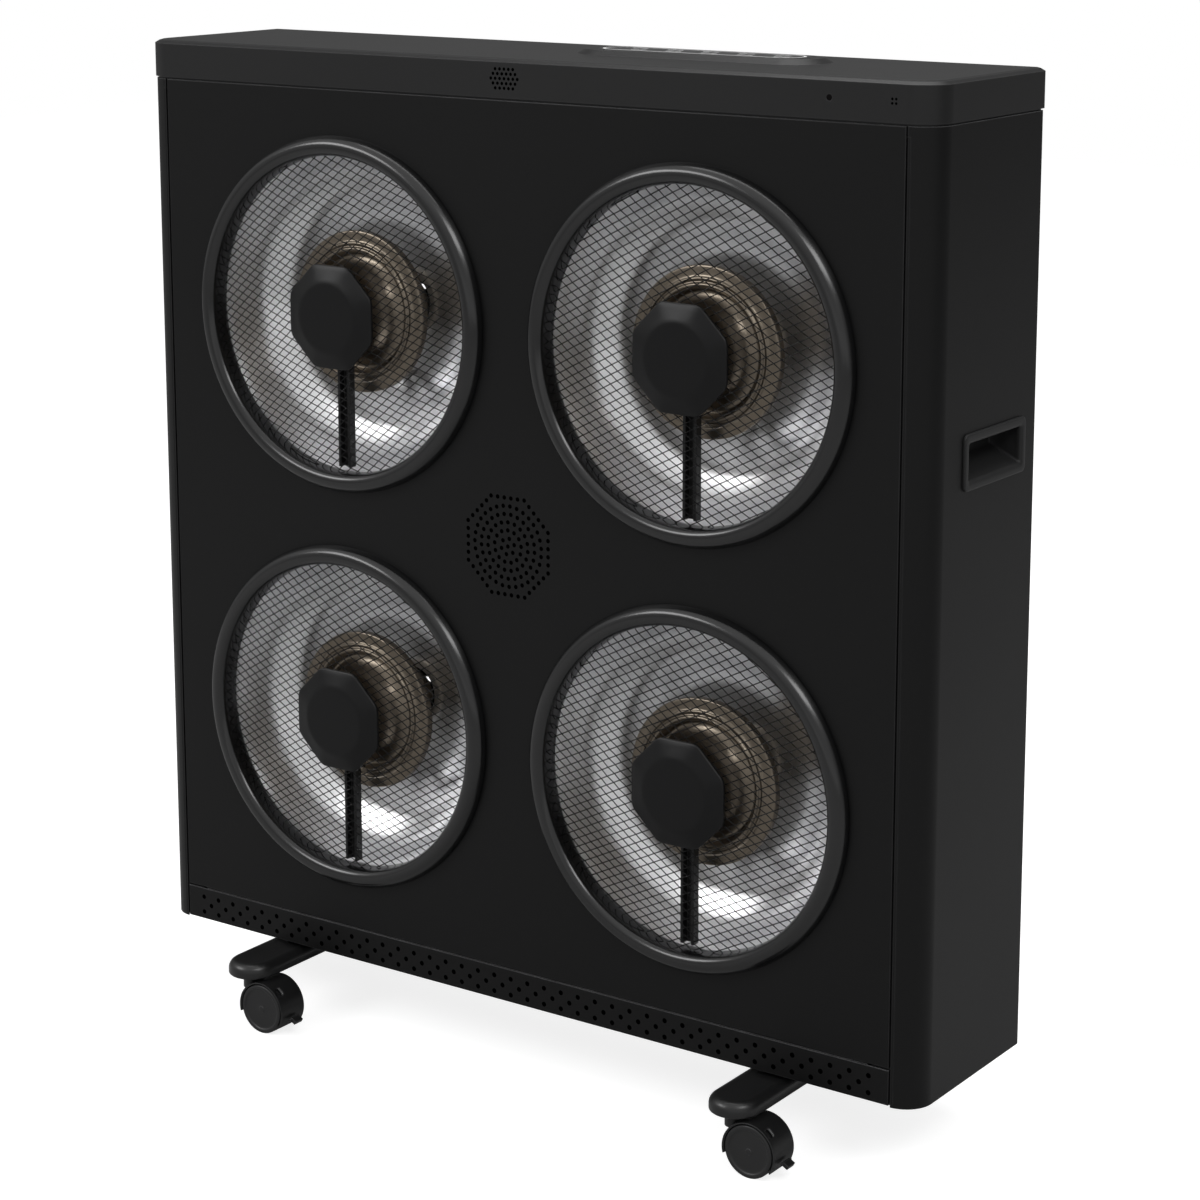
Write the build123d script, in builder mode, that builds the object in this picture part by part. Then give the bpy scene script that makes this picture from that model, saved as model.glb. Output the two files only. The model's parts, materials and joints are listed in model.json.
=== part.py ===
"""Free-standing infrared cabinet heater on castors, in millimetres.

A flat steel cabinet carries four round heater modules behind domed wire guards. It stands on two foot bars
with a swivelling twin-wheel castor at each rounded end. X is across the front, Y runs from the front to the
rear and Z is up. The origin is on the floor, below the middle of the cabinet.
"""

from build123d import *
import math
import os

os.makedirs("parts", exist_ok=True)

# Cabinet
CABINET_WIDTH = 712.0
CABINET_DEPTH = 158.0
CORNER_RADIUS = 22.0
REAR_CORNER_RADIUS = 5.0
SHEET = 1.2
SEAM = 1.5
SEAT_GAP = 0.3
SIDE_WRAP = 22.0
PANEL_HEIGHT = 668.0
PLINTH_HEIGHT = 28.0
PLINTH_STEP = 1.0
CAP_HEIGHT = 29.5
CAP_OVERHANG = 1.0
CAP_WALL = 2.6
CAP_TOP_THICKNESS = 1.8
CAP_EDGE_RISE = 4.5
CAP_EDGE_INSET = 2.6
CAP_EDGE_SOFTENING = 1.4
SKIRT_WALL = 1.6
SKIRT_DROP = 7.0
SKIRT_RISE = 3.0
LEDGE_WIDTH = 16.0
LEDGE_OVERLAP = 2.3

# Foot bars and castors
WHEEL_RADIUS = 20.0
WHEEL_DROP = 24.0
BAR_INSET = 126.0
BAR_WIDTH = 40.0
BAR_END_SIDES = 16
BAR_THICKNESS = 11.5
BAR_CHAMFER = 2.5
BAR_REACH = 57.5
PAD_WIDTH = 30.0
PAD_LENGTH = 120.0
PAD_HEIGHT = 3.0
TRAIL = 18.5
CASTOR_WIDTH = 28.0
CASTOR_SIDES = 16
HOOD_WALL = 1.5
HOOD_GAP = 0.6
HOOD_LEADING_DROP = 5.5
HOOD_TRAILING_DROP = 12.0
HOOD_SLOT_LENGTH = 6.0
HOOD_SLOT_WIDTH = 3.0
HOOD_SLOT_ANGLE = 48.0
WEB_THICKNESS = 4.0
WHEEL_GAP = 0.5
RIM_WIDTH = 3.5
RIM_PROUD = 1.0
AXLE_RADIUS = 2.5
STEM_RADIUS = 4.0
STEM_LENGTH = 7.5
NECK_RADIUS = 8.5
NECK_GAP = 0.8
PIN_CLEARANCE = 0.05
PIN_SIDES = 12
LEVER_WIDTH = 9.0
LEVER_THICKNESS = 3.0
LEVER_LENGTH = 4.8
LEVER_PIN_RADIUS = 0.9
LEVER_EYE_RADIUS = 1.9
LEVER_EAR = 1.6
LEVER_SIDES = 8
LEVER_PLACE_ANGLE = 14.0
LEVER_TAB_ANGLE = 30.0

# Heater modules: radii, and depths measured back from the face of the front panel
MODULES_EACH_WAY = 2
MODULE_MARGIN = 35.5
MODULE_GAP = 43.0
DISH_SIDES = 28
BELL_SIDES = 16
BEZEL_FLANGE = 15.5
BEZEL_PROUD = 9.8
BEZEL_LIP = 3.0
BEZEL_CREST_INSET = 7.5
BEZEL_INNER_PROUD = 8.0
BEZEL_INNER_LIP = 5.0
SLEEVE_WALL = 2.2
SLEEVE_DEPTH = 8.0
DISH_RIM_INSET = 2.0
DISH_DEPTH = 84.0
DISH_SHEET = 0.9
DISH_FLANGE = 10.0
DISH_WALL_INSET = 9.0
DISH_WALL_DEPTH = 31.0
DISH_BOWL_INSET = 36.0
DISH_BOWL_DEPTH = 62.0
DISH_FLOOR_INSET = 76.0
WIRE = 1.0
WIRE_GAP = 0.12
WIRE_EDGE_GAP = 18.5
WIRES_EACH_WAY = 12
DOME_FLAT = 42.0
DOME_RISE = 5.0
QUARTER_TURN = 90.0
CAP_ACROSS_FLATS = 80.0
CAP_SIDES = 8
CAP_BACK = -8.6
CAP_EDGE_DEPTH = -12.5
CAP_FACE_DEPTH = -16.2
CAP_FACE_RADIUS = 27.5
HUB_RADIUS = 30.0
BELL_SHEET = 1.2
HUB_SHOULDER_DEPTH = 10.0
FLARE_RADIUS = 38.5
FLARE_DEPTH = 25.5
VALLEY_RADIUS = 44.0
VALLEY_DEPTH = 28.0
INNER_RIB_RADIUS = 50.0
INNER_RIB_DEPTH = 19.0
GROOVE_RADIUS = 54.5
GROOVE_DEPTH = 22.0
OUTER_RIB_RADIUS = 59.0
OUTER_RIB_DEPTH = 20.0
BELL_RADIUS = 62.4
BELL_DEPTH = 30.0
NECK_BORE_RADIUS = 19.6
ELEMENT_RADIUS = 54.4
ELEMENT_SIZE = 5.0
LEG_SIZE = 4.0
LEG_SPREAD = 18.0
LEG_LENGTH = 72.0
TERMINAL_WIDTH = 34.0
TERMINAL_HEIGHT = 14.0
TERMINAL_DEPTH = 20.0
CHANNEL_WIDTH = 11.7
CHANNEL_FLANGE = 2.4
CHANNEL_FRONT = 3.0
CHANNEL_BACK = 10.0
CHANNEL_WEB = 1.6
CHANNEL_END_GAP = 1.6

# Grips
GRIP_WIDTH = 90.0
GRIP_HEIGHT = 40.5
GRIP_CORNER = 4.5
GRIP_PROUD = 2.0
GRIP_MOUTH_WIDTH = 77.0
GRIP_MOUTH_HEIGHT = 26.0
GRIP_DEPTH = 24.0
GRIP_WALL = 1.8
GRIP_Y = 13.5
GRIP_RISE = 98.0
GRIP_LEDGE_RISE = 11.0
GRIP_POCKET_RISE = 5.0

# Controls and inner pieces
PLATFORM_INSET = 245.0
PLATFORM_Y = 13.7
PLATFORM_LENGTH = 213.0
PLATFORM_WIDTH = 56.0
PLATFORM_SLOPE = 6.5
PLATFORM_HEIGHT = 3.5
OVERLAY_LENGTH = 178.0
OVERLAY_WIDTH = 34.0
OVERLAY_THICKNESS = 1.0
OVERLAY_PROUD = 0.3
SENSE_DROP = 15.4
RECEIVER_INSET = 82.0
RECEIVER_RADIUS = 2.25
RECEIVER_BODY_WIDTH = 9.0
RECEIVER_BODY_HEIGHT = 6.75
RECEIVER_BODY_DEPTH = 4.5
SENSOR_INSET = 31.7
SENSOR_PITCH = 3.0
SENSOR_HOLE = 1.0
SENSOR_BODY_WIDTH = 9.0
SENSOR_BODY_HEIGHT = 7.5
SENSOR_BODY_DEPTH = 3.0
SOUNDER_RADIUS = 11.0
SOUNDER_SIDES = 16
SOUNDER_DEPTH = 7.0
BOARD_THICKNESS = 1.6
BOARD_POST = 6.0
POWER_BOARD_INSET = 206.0
POWER_BOARD_LENGTH = 130.0
POWER_BOARD_WIDTH = 80.0
RELAY_LENGTH = 19.0
RELAY_WIDTH = 15.0
RELAY_HEIGHT = 15.5
RELAY_PITCH = 34.0
SWITCH_INSET = 106.0
SWITCH_LENGTH = 24.0
SWITCH_WIDTH = 12.0
SWITCH_HEIGHT = 18.0
GLAND_INSET = 88.0
GLAND_Z = 112.0
GLAND_RADIUS = 8.0
GLAND_NUT_RADIUS = 12.0
GLAND_NUT_HEIGHT = 5.0
GLAND_COLLAR = 8.0
GLAND_BORE_RADIUS = 4.0
GLAND_DEPTH = 16.0

# Vents and screws
REAR_SLOT_LENGTH = 150.0
REAR_SLOT_COUNT = 3
REAR_SLOT_HEIGHT = 5.0
REAR_SLOT_PITCH = 14.0
SCREW_ROWS = 3
SCREW_SIDES = 6
SCREW_RADIUS = 1.6
SCREW_HEAD_RADIUS = 3.4
SCREW_HEAD_HEIGHT = 1.8
SCREW_LENGTH = 7.0
SCREW_CLEARANCE = 0.1
BOLT_RADIUS = 3.0
BOLT_HEAD_RADIUS = 5.5
BOLT_HEAD_HEIGHT = 4.0

# Levels and faces that follow from the sizes above
front_y = -CABINET_DEPTH / 2
rear_y = CABINET_DEPTH / 2
panel_width = CABINET_WIDTH - 2 * SIDE_WRAP
bar_spacing = CABINET_WIDTH - 2 * BAR_INSET
platform_x = CABINET_WIDTH / 2 - PLATFORM_INSET
receiver_x = CABINET_WIDTH / 2 - RECEIVER_INSET
sensor_x = CABINET_WIDTH / 2 - SENSOR_INSET
switch_x = CABINET_WIDTH / 2 - SWITCH_INSET
gland_x = CABINET_WIDTH / 2 - GLAND_INSET
power_board_x = POWER_BOARD_INSET - CABINET_WIDTH / 2
bar_bottom = WHEEL_RADIUS + WHEEL_DROP
bar_top = bar_bottom + BAR_THICKNESS
tray_bottom = bar_top + PAD_HEIGHT
cabinet_bottom = tray_bottom - PLINTH_STEP
panel_seam = cabinet_bottom + PLINTH_HEIGHT
cap_seam = panel_seam + PANEL_HEIGHT
cabinet_top = cap_seam + CAP_HEIGHT
panel_centre_z = panel_seam + PANEL_HEIGHT / 2
wrap_top = cap_seam - SEAM / 2
cap_bottom = cap_seam + SEAM / 2
panel_half = panel_width / 2 - SEAM / 2
wrap_edge = panel_width / 2 + SEAM / 2
ledge_face = SHEET + SEAT_GAP
module_room = min(panel_width, PANEL_HEIGHT) - 2 * MODULE_MARGIN - MODULE_GAP
bezel_radius = module_room / (2 * MODULES_EACH_WAY)
bezel_crest_radius = bezel_radius - BEZEL_CREST_INSET
sleeve_radius = bezel_radius - BEZEL_FLANGE
dish_radius = sleeve_radius - DISH_RIM_INSET
dish_wall_radius = dish_radius - DISH_WALL_INSET
dish_bowl_radius = dish_radius - DISH_BOWL_INSET
dish_floor_radius = dish_radius - DISH_FLOOR_INSET
wire_pitch = 2 * (sleeve_radius - WIRE_EDGE_GAP) / (WIRES_EACH_WAY - 1)
module_edge = 2 * (MODULE_MARGIN + bezel_radius)
module_pitch = (panel_width - module_edge, PANEL_HEIGHT - module_edge)
module_grid = (*module_pitch, MODULES_EACH_WAY, MODULES_EACH_WAY)
tray_top = tray_bottom + SHEET
castor_y = CABINET_DEPTH / 2 + BAR_REACH - BAR_WIDTH / 2
hub_front = CAP_BACK + 2 * WIRE + 3 * WIRE_GAP
grip_z = panel_centre_z + GRIP_RISE
sense_z = cap_seam + SENSE_DROP
trough_half = ELEMENT_SIZE / 2 + SEAT_GAP
trough_depth = GROOVE_DEPTH + BELL_SHEET
element_front = trough_depth + SEAT_GAP
terminal_front = element_front + ELEMENT_SIZE + LEG_LENGTH
hood_radius = WHEEL_RADIUS + HOOD_GAP + HOOD_WALL
lever_reach = hood_radius + LEVER_EYE_RADIUS + 2 * SEAT_GAP
lever_turn = math.radians(-LEVER_PLACE_ANGLE)

module_centres = {
    "tl": (-module_pitch[0] / 2, panel_centre_z + module_pitch[1] / 2),
    "tr": (module_pitch[0] / 2, panel_centre_z + module_pitch[1] / 2),
    "bl": (-module_pitch[0] / 2, panel_centre_z - module_pitch[1] / 2),
    "br": (module_pitch[0] / 2, panel_centre_z - module_pitch[1] / 2),
}
mesh_turns = {"tl": 50.0, "tr": 22.0, "bl": 22.0, "br": 24.0}
screw_pitch = (panel_width - LEDGE_WIDTH, PANEL_HEIGHT / 2 - LEDGE_WIDTH)
screw_grid = (*screw_pitch, 2, SCREW_ROWS)
bolt_grid = (bar_spacing, PAD_LENGTH / 2, 2, 2)
castor_places = {
    "front_left": (-bar_spacing / 2, -castor_y),
    "front_right": (bar_spacing / 2, -castor_y),
    "rear_left": (-bar_spacing / 2, castor_y),
    "rear_right": (bar_spacing / 2, castor_y),
}
braked = ("front_left", "front_right")


def finish(part, label):
    """Name a finished piece and write its file."""
    part.label = label
    export_step(part, f"parts/{label}.step")


def facing(x, depth, z):
    """Plane parallel to the front panel, seen from the front, at a depth behind its face."""
    return Plane(origin=(x, front_y + depth, z), x_dir=(1, 0, 0), z_dir=(0, -1, 0))


def cabinet_outline(inset):
    """Plan of the cabinet with rounded front corners, drawn in by an inset."""
    with BuildSketch() as outline:
        Rectangle(CABINET_WIDTH - 2 * inset, CABINET_DEPTH - 2 * inset)
        corners = outline.vertices()
        fillet(corners.filter_by_position(Axis.Y, -CABINET_DEPTH, 0), CORNER_RADIUS - inset)
        if REAR_CORNER_RADIUS > inset:
            rear = outline.vertices().group_by(Axis.Y)[-1]
            fillet(rear, REAR_CORNER_RADIUS - inset)
    return outline.sketch


# The side panels wrap round the front corners and lie on the base tray
with BuildPart() as side_panel_right:
    with BuildSketch(Plane.XY.offset(cabinet_bottom)):
        add(cabinet_outline(0))
        add(cabinet_outline(SHEET), mode=Mode.SUBTRACT)
        with Locations((wrap_edge, 0)):
            Rectangle(
                CABINET_WIDTH, 2 * CABINET_DEPTH, align=(Align.MIN, Align.CENTER), mode=Mode.INTERSECT
            )
    extrude(amount=wrap_top - cabinet_bottom)
    # Ledges behind the seams of the front and rear panels
    with BuildSketch(Plane.XY.offset(tray_top + SEAT_GAP)):
        with Locations((wrap_edge, front_y), (wrap_edge, rear_y)):
            Rectangle(LEDGE_OVERLAP, 2 * (ledge_face + SHEET), align=(Align.MIN, Align.CENTER))
        with Locations((wrap_edge + LEDGE_OVERLAP, 0)):
            Rectangle(
                LEDGE_WIDTH + LEDGE_OVERLAP,
                CABINET_DEPTH - 2 * ledge_face,
                align=(Align.MAX, Align.CENTER),
            )
        Rectangle(CABINET_WIDTH, CABINET_DEPTH - 2 * (ledge_face + SHEET), mode=Mode.SUBTRACT)
        Rectangle(CABINET_WIDTH, CABINET_DEPTH, mode=Mode.INTERSECT)
    extrude(amount=wrap_top - SKIRT_DROP - SEAT_GAP - tray_top - SEAT_GAP)
    with BuildSketch(facing(screw_pitch[0] / 2, CABINET_DEPTH, panel_centre_z)):
        with GridLocations(0, screw_pitch[1], 1, SCREW_ROWS):
            RegularPolygon(SCREW_RADIUS + SCREW_CLEARANCE, SCREW_SIDES)
    extrude(amount=2 * SCREW_LENGTH, mode=Mode.SUBTRACT)
    with BuildSketch(Plane.YZ.offset(CABINET_WIDTH / 2)):
        with Locations((GRIP_Y, grip_z)):
            Rectangle(GRIP_MOUTH_WIDTH + 2 * (GRIP_WALL + SEAT_GAP), GRIP_HEIGHT - 2 * GRIP_WALL)
    extrude(amount=-LEDGE_WIDTH, mode=Mode.SUBTRACT)
finish(side_panel_right.part, "side_panel_right")

with BuildPart() as side_panel_left:
    mirror(side_panel_right.part, about=Plane.YZ)
finish(side_panel_left.part, "side_panel_left")

# Front panel, with an opening for each heater module
with BuildPart() as front_panel:
    with BuildSketch(facing(0, 0, panel_centre_z)):
        Rectangle(2 * panel_half, PANEL_HEIGHT - SEAM)
        with GridLocations(*module_grid):
            RegularPolygon(
                sleeve_radius + SLEEVE_WALL + SEAT_GAP,
                DISH_SIDES,
                major_radius=False,
                rotation=180 / DISH_SIDES,
                mode=Mode.SUBTRACT,
            )
    extrude(amount=-SHEET)
finish(front_panel.part, "front_panel")

# Rear panel, with vents behind each row of modules
with BuildPart() as rear_panel:
    with BuildSketch(facing(0, CABINET_DEPTH - SHEET, (tray_bottom + wrap_top) / 2)):
        Rectangle(2 * panel_half, wrap_top - tray_bottom)
    extrude(amount=-SHEET)
    with BuildSketch(facing(0, CABINET_DEPTH, panel_centre_z)):
        with GridLocations(*module_grid):
            with GridLocations(REAR_SLOT_LENGTH, REAR_SLOT_PITCH, 1, REAR_SLOT_COUNT):
                Rectangle(REAR_SLOT_LENGTH, REAR_SLOT_HEIGHT)
        with GridLocations(*screw_grid):
            RegularPolygon(SCREW_RADIUS + SCREW_CLEARANCE, SCREW_SIDES)
    extrude(amount=2 * SHEET, both=True, mode=Mode.SUBTRACT)
    with BuildSketch(facing(gland_x, CABINET_DEPTH, GLAND_Z)):
        RegularPolygon(GLAND_RADIUS + SEAT_GAP, PIN_SIDES)
    extrude(amount=2 * SHEET, both=True, mode=Mode.SUBTRACT)
finish(rear_panel.part, "rear_panel")

# Base tray: its front edge is the plinth strip
strip_top = panel_seam - SEAM / 2
with BuildPart() as base_tray:
    with BuildSketch(Plane.XY.offset(tray_bottom)):
        add(cabinet_outline(ledge_face))
        with Locations((0, front_y)):
            Rectangle(2 * panel_half, CABINET_DEPTH / 2, align=(Align.CENTER, Align.MIN))
    extrude(amount=SHEET)
    with BuildSketch(facing(0, 0, tray_bottom)):
        Rectangle(2 * panel_half, strip_top - tray_bottom, align=(Align.CENTER, Align.MIN))
    extrude(amount=-SHEET)
    # Folded lip behind the seam below the front panel
    with BuildSketch(Plane.YZ.offset(LEDGE_WIDTH + LEDGE_OVERLAP - panel_half)):
        with BuildLine():
            Polyline(
                (front_y + SHEET / 2, strip_top),
                (front_y + SHEET / 2, strip_top - LEDGE_OVERLAP),
                (front_y + ledge_face + SHEET, strip_top - LEDGE_OVERLAP),
                (front_y + ledge_face + SHEET, strip_top + LEDGE_WIDTH / 2),
                (front_y + ledge_face, strip_top + LEDGE_WIDTH / 2),
                (front_y + ledge_face, strip_top),
                close=True,
            )
        make_face()
    extrude(amount=2 * (panel_half - LEDGE_WIDTH - LEDGE_OVERLAP))
    with BuildSketch(Plane.XY.offset(tray_bottom)):
        with GridLocations(*bolt_grid):
            RegularPolygon(BOLT_RADIUS + SCREW_CLEARANCE, SCREW_SIDES)
    extrude(amount=SHEET, mode=Mode.SUBTRACT)
finish(base_tray.part, "base_tray")

# Top cap, a deep lid with a skirt that drops inside the side panels
with BuildPart() as top_cap:
    with BuildSketch(Plane.XY.offset(cap_bottom)):
        add(cabinet_outline(-CAP_OVERHANG))
    extrude(amount=cabinet_top - cap_bottom)
    # The top edge is rolled over: a steep bevel and a flatter one above it
    chamfer(top_cap.faces().sort_by(Axis.Z)[-1].edges(), CAP_EDGE_INSET, CAP_EDGE_RISE)
    chamfer(top_cap.faces().sort_by(Axis.Z)[-1].edges(), CAP_EDGE_SOFTENING)
    with BuildSketch(Plane.XY.offset(cabinet_top)):
        with Locations((platform_x, PLATFORM_Y)):
            SlotOverall(PLATFORM_LENGTH, PLATFORM_WIDTH)
    extrude(amount=PLATFORM_HEIGHT, taper=math.degrees(math.atan(PLATFORM_SLOPE / PLATFORM_HEIGHT)))
    with BuildSketch(Plane.XY.offset(cap_bottom)):
        add(cabinet_outline(CAP_WALL - CAP_OVERHANG))
    extrude(amount=cabinet_top - CAP_TOP_THICKNESS - cap_bottom, mode=Mode.SUBTRACT)
    with BuildSketch(Plane.XY.offset(wrap_top - SKIRT_DROP)):
        add(cabinet_outline(ledge_face))
        add(cabinet_outline(ledge_face + SKIRT_WALL), mode=Mode.SUBTRACT)
    extrude(amount=SKIRT_DROP + SEAM + SKIRT_RISE)
    with BuildSketch(Plane.XY.offset(cabinet_top + PLATFORM_HEIGHT)):
        with Locations((platform_x, PLATFORM_Y)):
            SlotOverall(OVERLAY_LENGTH + SEAT_GAP, OVERLAY_WIDTH + SEAT_GAP)
    extrude(amount=OVERLAY_PROUD - OVERLAY_THICKNESS, mode=Mode.SUBTRACT)
    # Four posts that carry the control board
    with BuildSketch(Plane.XY.offset(cabinet_top - CAP_TOP_THICKNESS)):
        with Locations((platform_x, PLATFORM_Y)):
            with GridLocations(OVERLAY_LENGTH - 2 * BOARD_POST, OVERLAY_WIDTH - BOARD_POST, 2, 2):
                Rectangle(BOARD_POST, BOARD_POST)
    extrude(amount=-BOARD_POST)
    with BuildSketch(facing(receiver_x, -2 * CAP_OVERHANG, sense_z)):
        RegularPolygon(RECEIVER_RADIUS + PIN_CLEARANCE, PIN_SIDES)
    extrude(amount=-2 * CAP_WALL - CAP_OVERHANG, mode=Mode.SUBTRACT)
    with BuildSketch(facing(sensor_x, -2 * CAP_OVERHANG, sense_z)):
        with GridLocations(SENSOR_PITCH, SENSOR_PITCH, 2, 2):
            Rectangle(SENSOR_HOLE, SENSOR_HOLE)
    extrude(amount=-2 * CAP_WALL - CAP_OVERHANG, mode=Mode.SUBTRACT)
finish(top_cap.part, "top_cap")

with BuildPart() as control_overlay:
    with BuildSketch(Plane.XY.offset(cabinet_top + PLATFORM_HEIGHT + OVERLAY_PROUD)):
        with Locations((platform_x, PLATFORM_Y)):
            SlotOverall(OVERLAY_LENGTH, OVERLAY_WIDTH)
    extrude(amount=-OVERLAY_THICKNESS)
finish(control_overlay.part, "control_overlay")

with BuildPart() as control_board:
    with BuildSketch(Plane.XY.offset(cabinet_top - CAP_TOP_THICKNESS - BOARD_POST)):
        with Locations((platform_x, PLATFORM_Y)):
            Rectangle(OVERLAY_LENGTH, OVERLAY_WIDTH)
    extrude(amount=-BOARD_THICKNESS)
finish(control_board.part, "control_board")

# Small pieces behind the front wall of the cap
cap_inner_depth = CAP_WALL - CAP_OVERHANG
with BuildPart() as receiver_lens:
    with BuildSketch(facing(receiver_x, -CAP_OVERHANG, sense_z)):
        RegularPolygon(RECEIVER_RADIUS, PIN_SIDES)
    extrude(amount=-CAP_WALL)
    with BuildSketch(facing(receiver_x, cap_inner_depth, sense_z)):
        Rectangle(RECEIVER_BODY_WIDTH, RECEIVER_BODY_HEIGHT)
    extrude(amount=-RECEIVER_BODY_DEPTH)
finish(receiver_lens.part, "receiver_lens")

with BuildPart() as sounder:
    with BuildSketch(facing(0, cap_inner_depth, sense_z)):
        RegularPolygon(SOUNDER_RADIUS, SOUNDER_SIDES)
    extrude(amount=-SOUNDER_DEPTH)
finish(sounder.part, "sounder")

with BuildPart() as room_sensor:
    with BuildSketch(facing(sensor_x, cap_inner_depth, sense_z)):
        Rectangle(SENSOR_BODY_WIDTH, SENSOR_BODY_HEIGHT)
    extrude(amount=-SENSOR_BODY_DEPTH)
finish(room_sensor.part, "room_sensor")

# Power board with its relays on four posts, and the tilt switch, both on the tray
with BuildPart() as power_board:
    with BuildSketch(Plane.XY.offset(tray_top)):
        with Locations((power_board_x, 0)):
            with GridLocations(POWER_BOARD_LENGTH - BOARD_POST, POWER_BOARD_WIDTH - BOARD_POST, 2, 2):
                Rectangle(BOARD_POST, BOARD_POST)
    extrude(amount=BOARD_POST)
    with BuildSketch(Plane.XY.offset(tray_top + BOARD_POST)):
        with Locations((power_board_x, 0)):
            Rectangle(POWER_BOARD_LENGTH, POWER_BOARD_WIDTH)
    extrude(amount=BOARD_THICKNESS)
    with BuildSketch(Plane.XY.offset(tray_top + BOARD_POST + BOARD_THICKNESS)):
        with Locations((power_board_x, 0)):
            with GridLocations(RELAY_PITCH, RELAY_PITCH, 2, 2):
                Rectangle(RELAY_LENGTH, RELAY_WIDTH)
    extrude(amount=RELAY_HEIGHT)
finish(power_board.part, "power_board")

with BuildPart() as tilt_switch:
    with BuildSketch(Plane.XY.offset(tray_top)):
        with Locations((switch_x, 0)):
            Rectangle(SWITCH_LENGTH, SWITCH_WIDTH)
    extrude(amount=SWITCH_HEIGHT)
finish(tilt_switch.part, "tilt_switch")

# Gland where the mains cord enters: a collar outside the rear panel and a nut inside it
with BuildPart() as cable_gland:
    with BuildSketch(facing(gland_x, CABINET_DEPTH, GLAND_Z)):
        RegularPolygon(GLAND_NUT_RADIUS, PIN_SIDES)
    extrude(amount=-GLAND_COLLAR)
    with BuildSketch(facing(gland_x, CABINET_DEPTH, GLAND_Z)):
        RegularPolygon(GLAND_RADIUS, PIN_SIDES)
    extrude(amount=GLAND_DEPTH)
    with BuildSketch(facing(gland_x, CABINET_DEPTH - SHEET, GLAND_Z)):
        RegularPolygon(GLAND_NUT_RADIUS, SCREW_SIDES)
    extrude(amount=GLAND_NUT_HEIGHT)
    with BuildSketch(facing(gland_x, CABINET_DEPTH + GLAND_COLLAR, GLAND_Z)):
        RegularPolygon(GLAND_BORE_RADIUS, PIN_SIDES)
    extrude(amount=GLAND_COLLAR + GLAND_DEPTH, mode=Mode.SUBTRACT)
finish(cable_gland.part, "cable_gland")

# Recessed grips: a moulded cup with a sloping floor and a finger pocket above its mouth
grip_face = CABINET_WIDTH / 2
mouth_half = GRIP_MOUTH_HEIGHT / 2
with BuildPart() as grip_right:
    with BuildSketch(Plane.YZ.offset(grip_face)):
        with Locations((GRIP_Y, grip_z)):
            RectangleRounded(GRIP_WIDTH, GRIP_HEIGHT, GRIP_CORNER)
    extrude(amount=GRIP_PROUD)
    chamfer(grip_right.faces().sort_by(Axis.X)[-1].edges(), GRIP_PROUD / 2)
    with BuildSketch(Plane.XZ.offset(-GRIP_Y)):
        with BuildLine():
            Polyline(
                (grip_face, grip_z - mouth_half - GRIP_WALL),
                (grip_face - GRIP_DEPTH - GRIP_WALL, grip_z - mouth_half + GRIP_LEDGE_RISE - GRIP_WALL),
                (grip_face - GRIP_DEPTH - GRIP_WALL, grip_z + mouth_half + GRIP_POCKET_RISE),
                (grip_face, grip_z + mouth_half + GRIP_POCKET_RISE),
                close=True,
            )
        make_face()
    extrude(amount=GRIP_MOUTH_WIDTH / 2 + GRIP_WALL, both=True)
    with BuildSketch(Plane.XZ.offset(-GRIP_Y)):
        with BuildLine():
            Polyline(
                (grip_face + GRIP_PROUD, grip_z - mouth_half),
                (grip_face, grip_z - mouth_half),
                (grip_face - GRIP_DEPTH, grip_z - mouth_half + GRIP_LEDGE_RISE),
                (grip_face - GRIP_DEPTH, grip_z + mouth_half + GRIP_POCKET_RISE - GRIP_WALL),
                (grip_face - GRIP_WALL, grip_z + mouth_half + GRIP_POCKET_RISE - GRIP_WALL),
                (grip_face - GRIP_WALL, grip_z + mouth_half),
                (grip_face + GRIP_PROUD, grip_z + mouth_half),
                close=True,
            )
        make_face()
    extrude(amount=GRIP_MOUTH_WIDTH / 2, both=True, mode=Mode.SUBTRACT)
finish(grip_right.part, "handle_right")

with BuildPart() as grip_left:
    mirror(grip_right.part, about=Plane.YZ)
finish(grip_left.part, "handle_left")


# Heater modules, each drawn standing by itself: its axis is Z, its face looks up and depths go down
def turned(outline, sides):
    """Turn a closed outline of (radius, depth) corners about the module axis, in flat facets."""
    reach = 2 * max(radius for radius, depth in outline)
    half = reach * math.tan(math.pi / sides)
    deepest = max(depth for radius, depth in outline)
    tallest = deepest - min(depth for radius, depth in outline)
    with BuildPart() as sector:
        with BuildSketch(Plane.XZ):
            with BuildLine():
                Polyline(*[(radius, -depth) for radius, depth in outline], close=True)
            make_face()
        extrude(amount=half, both=True)
        with BuildSketch(Plane.XY.offset(-deepest)):
            with BuildLine():
                Polyline((0, 0), (reach, half), (reach, -half), close=True)
            make_face()
        extrude(amount=tallest, mode=Mode.INTERSECT)
    with BuildPart() as whole:
        with PolarLocations(0, sides):
            add(sector.part)
    return whole.part


def place_modules(piece, label):
    """Set one copy of a piece into each of the four modules."""
    for key, (x, z) in module_centres.items():
        with BuildPart() as copy:
            with Locations(facing(x, 0, z)):
                add(piece)
        finish(copy.part, f"{label}_{key}")


# Rolled bezel ring: an outer lip, a crest, and a sleeve that goes back through the panel
bezel_ring = turned(
    (
        (bezel_radius, 0),
        (bezel_radius, -BEZEL_LIP),
        (bezel_crest_radius, -BEZEL_PROUD),
        (sleeve_radius + SLEEVE_WALL / 2, -BEZEL_INNER_PROUD),
        (sleeve_radius, -BEZEL_INNER_LIP),
        (sleeve_radius, SLEEVE_DEPTH),
        (sleeve_radius + SLEEVE_WALL, SLEEVE_DEPTH),
        (sleeve_radius + SLEEVE_WALL, 0),
    ),
    DISH_SIDES,
)
place_modules(bezel_ring, "bezel_ring")

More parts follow.
